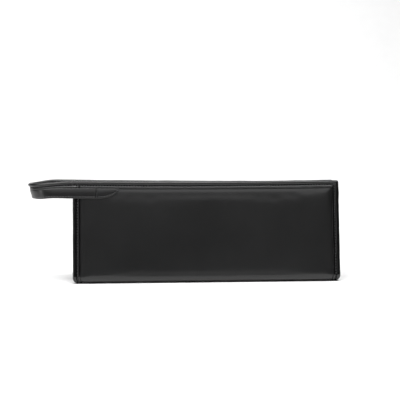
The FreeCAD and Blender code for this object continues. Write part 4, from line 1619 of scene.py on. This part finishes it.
def soft_light(name, place, aim, size, power):
    """A rectangular area light at a place, facing its aim."""
    data = bpy.data.lights.new(name, "AREA")
    data.shape = "RECTANGLE"
    data.size, data.size_y = size
    data.energy = power
    made = bpy.data.objects.new(name, data)
    bpy.context.scene.collection.objects.link(made)
    made.location = place
    made.rotation_euler = (Vector(aim) - Vector(place)).to_track_quat("-Z", "Y").to_euler()
    return made


def make_stage():
    """White paper that curves up behind the bag, soft lights and the camera."""
    profile = [(PAPER_FRONT, 0.0), (BEND_FROM, 0.0)]
    profile += [(BEND_FROM + PAPER_BEND * math.sin(turn), PAPER_BEND - PAPER_BEND * math.cos(turn))
                for turn in map(math.radians, range(6, 91, 6))]
    profile.append((BEND_FROM + PAPER_BEND, PAPER_TOP))
    rows = [[Vector((x, y, z)) for x in even(-PAPER_HALF, PAPER_HALF, 3)] for y, z in profile]
    paper = grid_sheet("studio_paper", rows, "studio_paper")
    scene = bpy.context.scene
    scene.world = bpy.data.worlds.new("studio")
    scene.world.use_nodes = True
    sky = scene.world.node_tree.nodes["Background"]
    sky.inputs["Color"].default_value = (SKY, SKY, SKY, 1)
    sky.inputs["Strength"].default_value = 1.0
    lights = [soft_light(name, *values) for name, values in LIGHTS.items()]
    data = bpy.data.cameras.new("camera")
    data.lens = LENS
    data.sensor_width = SENSOR
    camera = bpy.data.objects.new("camera", data)
    scene.collection.objects.link(camera)
    sideways = Vector((math.sin(CAMERA_TURN), -math.cos(CAMERA_TURN), 0))
    camera.location = CAMERA_TARGET + sideways * CAMERA_AWAY
    camera.location.z = CAMERA_Z
    camera.rotation_euler = (CAMERA_TARGET - camera.location).to_track_quat("-Z", "Y").to_euler()
    scene.camera = camera
    scene.view_settings.view_transform = "Standard"


# ---------------------------------------------------------------- operators

class MAKEUPBAG_OT_wrap(bpy.types.Operator):
    """Build the padded leather of front, base and back"""
    bl_idname = "makeup_bag.wrap"
    bl_label = "Leather Wrap"

    def execute(self, context):
        make_outer_wrap()
        return {"FINISHED"}


class MAKEUPBAG_OT_gussets(bpy.types.Operator):
    """Build the soft end panels"""
    bl_idname = "makeup_bag.gussets"
    bl_label = "End Panels"

    def execute(self, context):
        make_gussets()
        return {"FINISHED"}


class MAKEUPBAG_OT_bindings(bpy.types.Operator):
    """Build the rolled edges, their welts, stitches and cords"""
    bl_idname = "makeup_bag.bindings"
    bl_label = "Rolled Edges"

    def execute(self, context):
        make_end_bindings()
        make_top_bindings()
        return {"FINISHED"}


class MAKEUPBAG_OT_lining(bpy.types.Operator):
    """Build the lining and the foam boards behind it"""
    bl_idname = "makeup_bag.lining"
    bl_label = "Lining and Boards"

    def execute(self, context):
        make_lining()
        make_boards()
        return {"FINISHED"}


class MAKEUPBAG_OT_strap(bpy.types.Operator):
    """Build the wrist strap with its sewn ends"""
    bl_idname = "makeup_bag.strap"
    bl_label = "Wrist Strap"

    def execute(self, context):
        make_strap()
        return {"FINISHED"}


class MAKEUPBAG_OT_zip(bpy.types.Operator):
    """Build the zip's tapes, teeth, facings and ends"""
    bl_idname = "makeup_bag.zip"
    bl_label = "Zip"

    def execute(self, context):
        make_zip_halves()
        make_zip_ends()
        make_tail_tab()
        return {"FINISHED"}


class MAKEUPBAG_OT_slider(bpy.types.Operator):
    """Build the slider and its pull"""
    bl_idname = "makeup_bag.slider"
    bl_label = "Slider and Pull"

    def execute(self, context):
        make_slider()
        make_pull()
        return {"FINISHED"}


class MAKEUPBAG_OT_stage(bpy.types.Operator):
    """Build the paper, lights and camera"""
    bl_idname = "makeup_bag.stage"
    bl_label = "Stage"

    def execute(self, context):
        make_stage()
        return {"FINISHED"}


STEPS = (MAKEUPBAG_OT_wrap, MAKEUPBAG_OT_gussets, MAKEUPBAG_OT_bindings, MAKEUPBAG_OT_lining,
         MAKEUPBAG_OT_strap, MAKEUPBAG_OT_zip, MAKEUPBAG_OT_slider, MAKEUPBAG_OT_stage)


class MAKEUPBAG_PT_panel(bpy.types.Panel):
    """Lists the steps that build the makeup bag"""
    bl_idname = "MAKEUPBAG_PT_panel"
    bl_label = "Makeup Bag"
    bl_space_type = "VIEW_3D"
    bl_region_type = "UI"
    bl_category = "Makeup Bag"

    def draw(self, context):
        for step in STEPS:
            self.layout.operator(step.bl_idname)
        for settings in (context.scene.makeup_bag, context.scene.makeup_bag_finish):
            for name in settings.bl_rna.properties.keys():
                if name not in ("rna_type", "name"):
                    self.layout.prop(settings, name)


CLASSES = (BagSettings, FinishSettings, *STEPS, MAKEUPBAG_PT_panel)


def register():
    for item in CLASSES:
        bpy.utils.register_class(item)
    bpy.types.Scene.makeup_bag = PointerProperty(type=BagSettings)
    bpy.types.Scene.makeup_bag_finish = PointerProperty(type=FinishSettings)


def unregister():
    del bpy.types.Scene.makeup_bag_finish
    del bpy.types.Scene.makeup_bag
    for item in reversed(CLASSES):
        bpy.utils.unregister_class(item)


def main():
    """Build every piece."""
    register()
    bpy.ops.makeup_bag.wrap()
    bpy.ops.makeup_bag.gussets()
    bpy.ops.makeup_bag.bindings()
    bpy.ops.makeup_bag.lining()
    bpy.ops.makeup_bag.strap()
    bpy.ops.makeup_bag.zip()
    bpy.ops.makeup_bag.slider()
    bpy.ops.makeup_bag.stage()


if __name__ == "__main__":
    main()
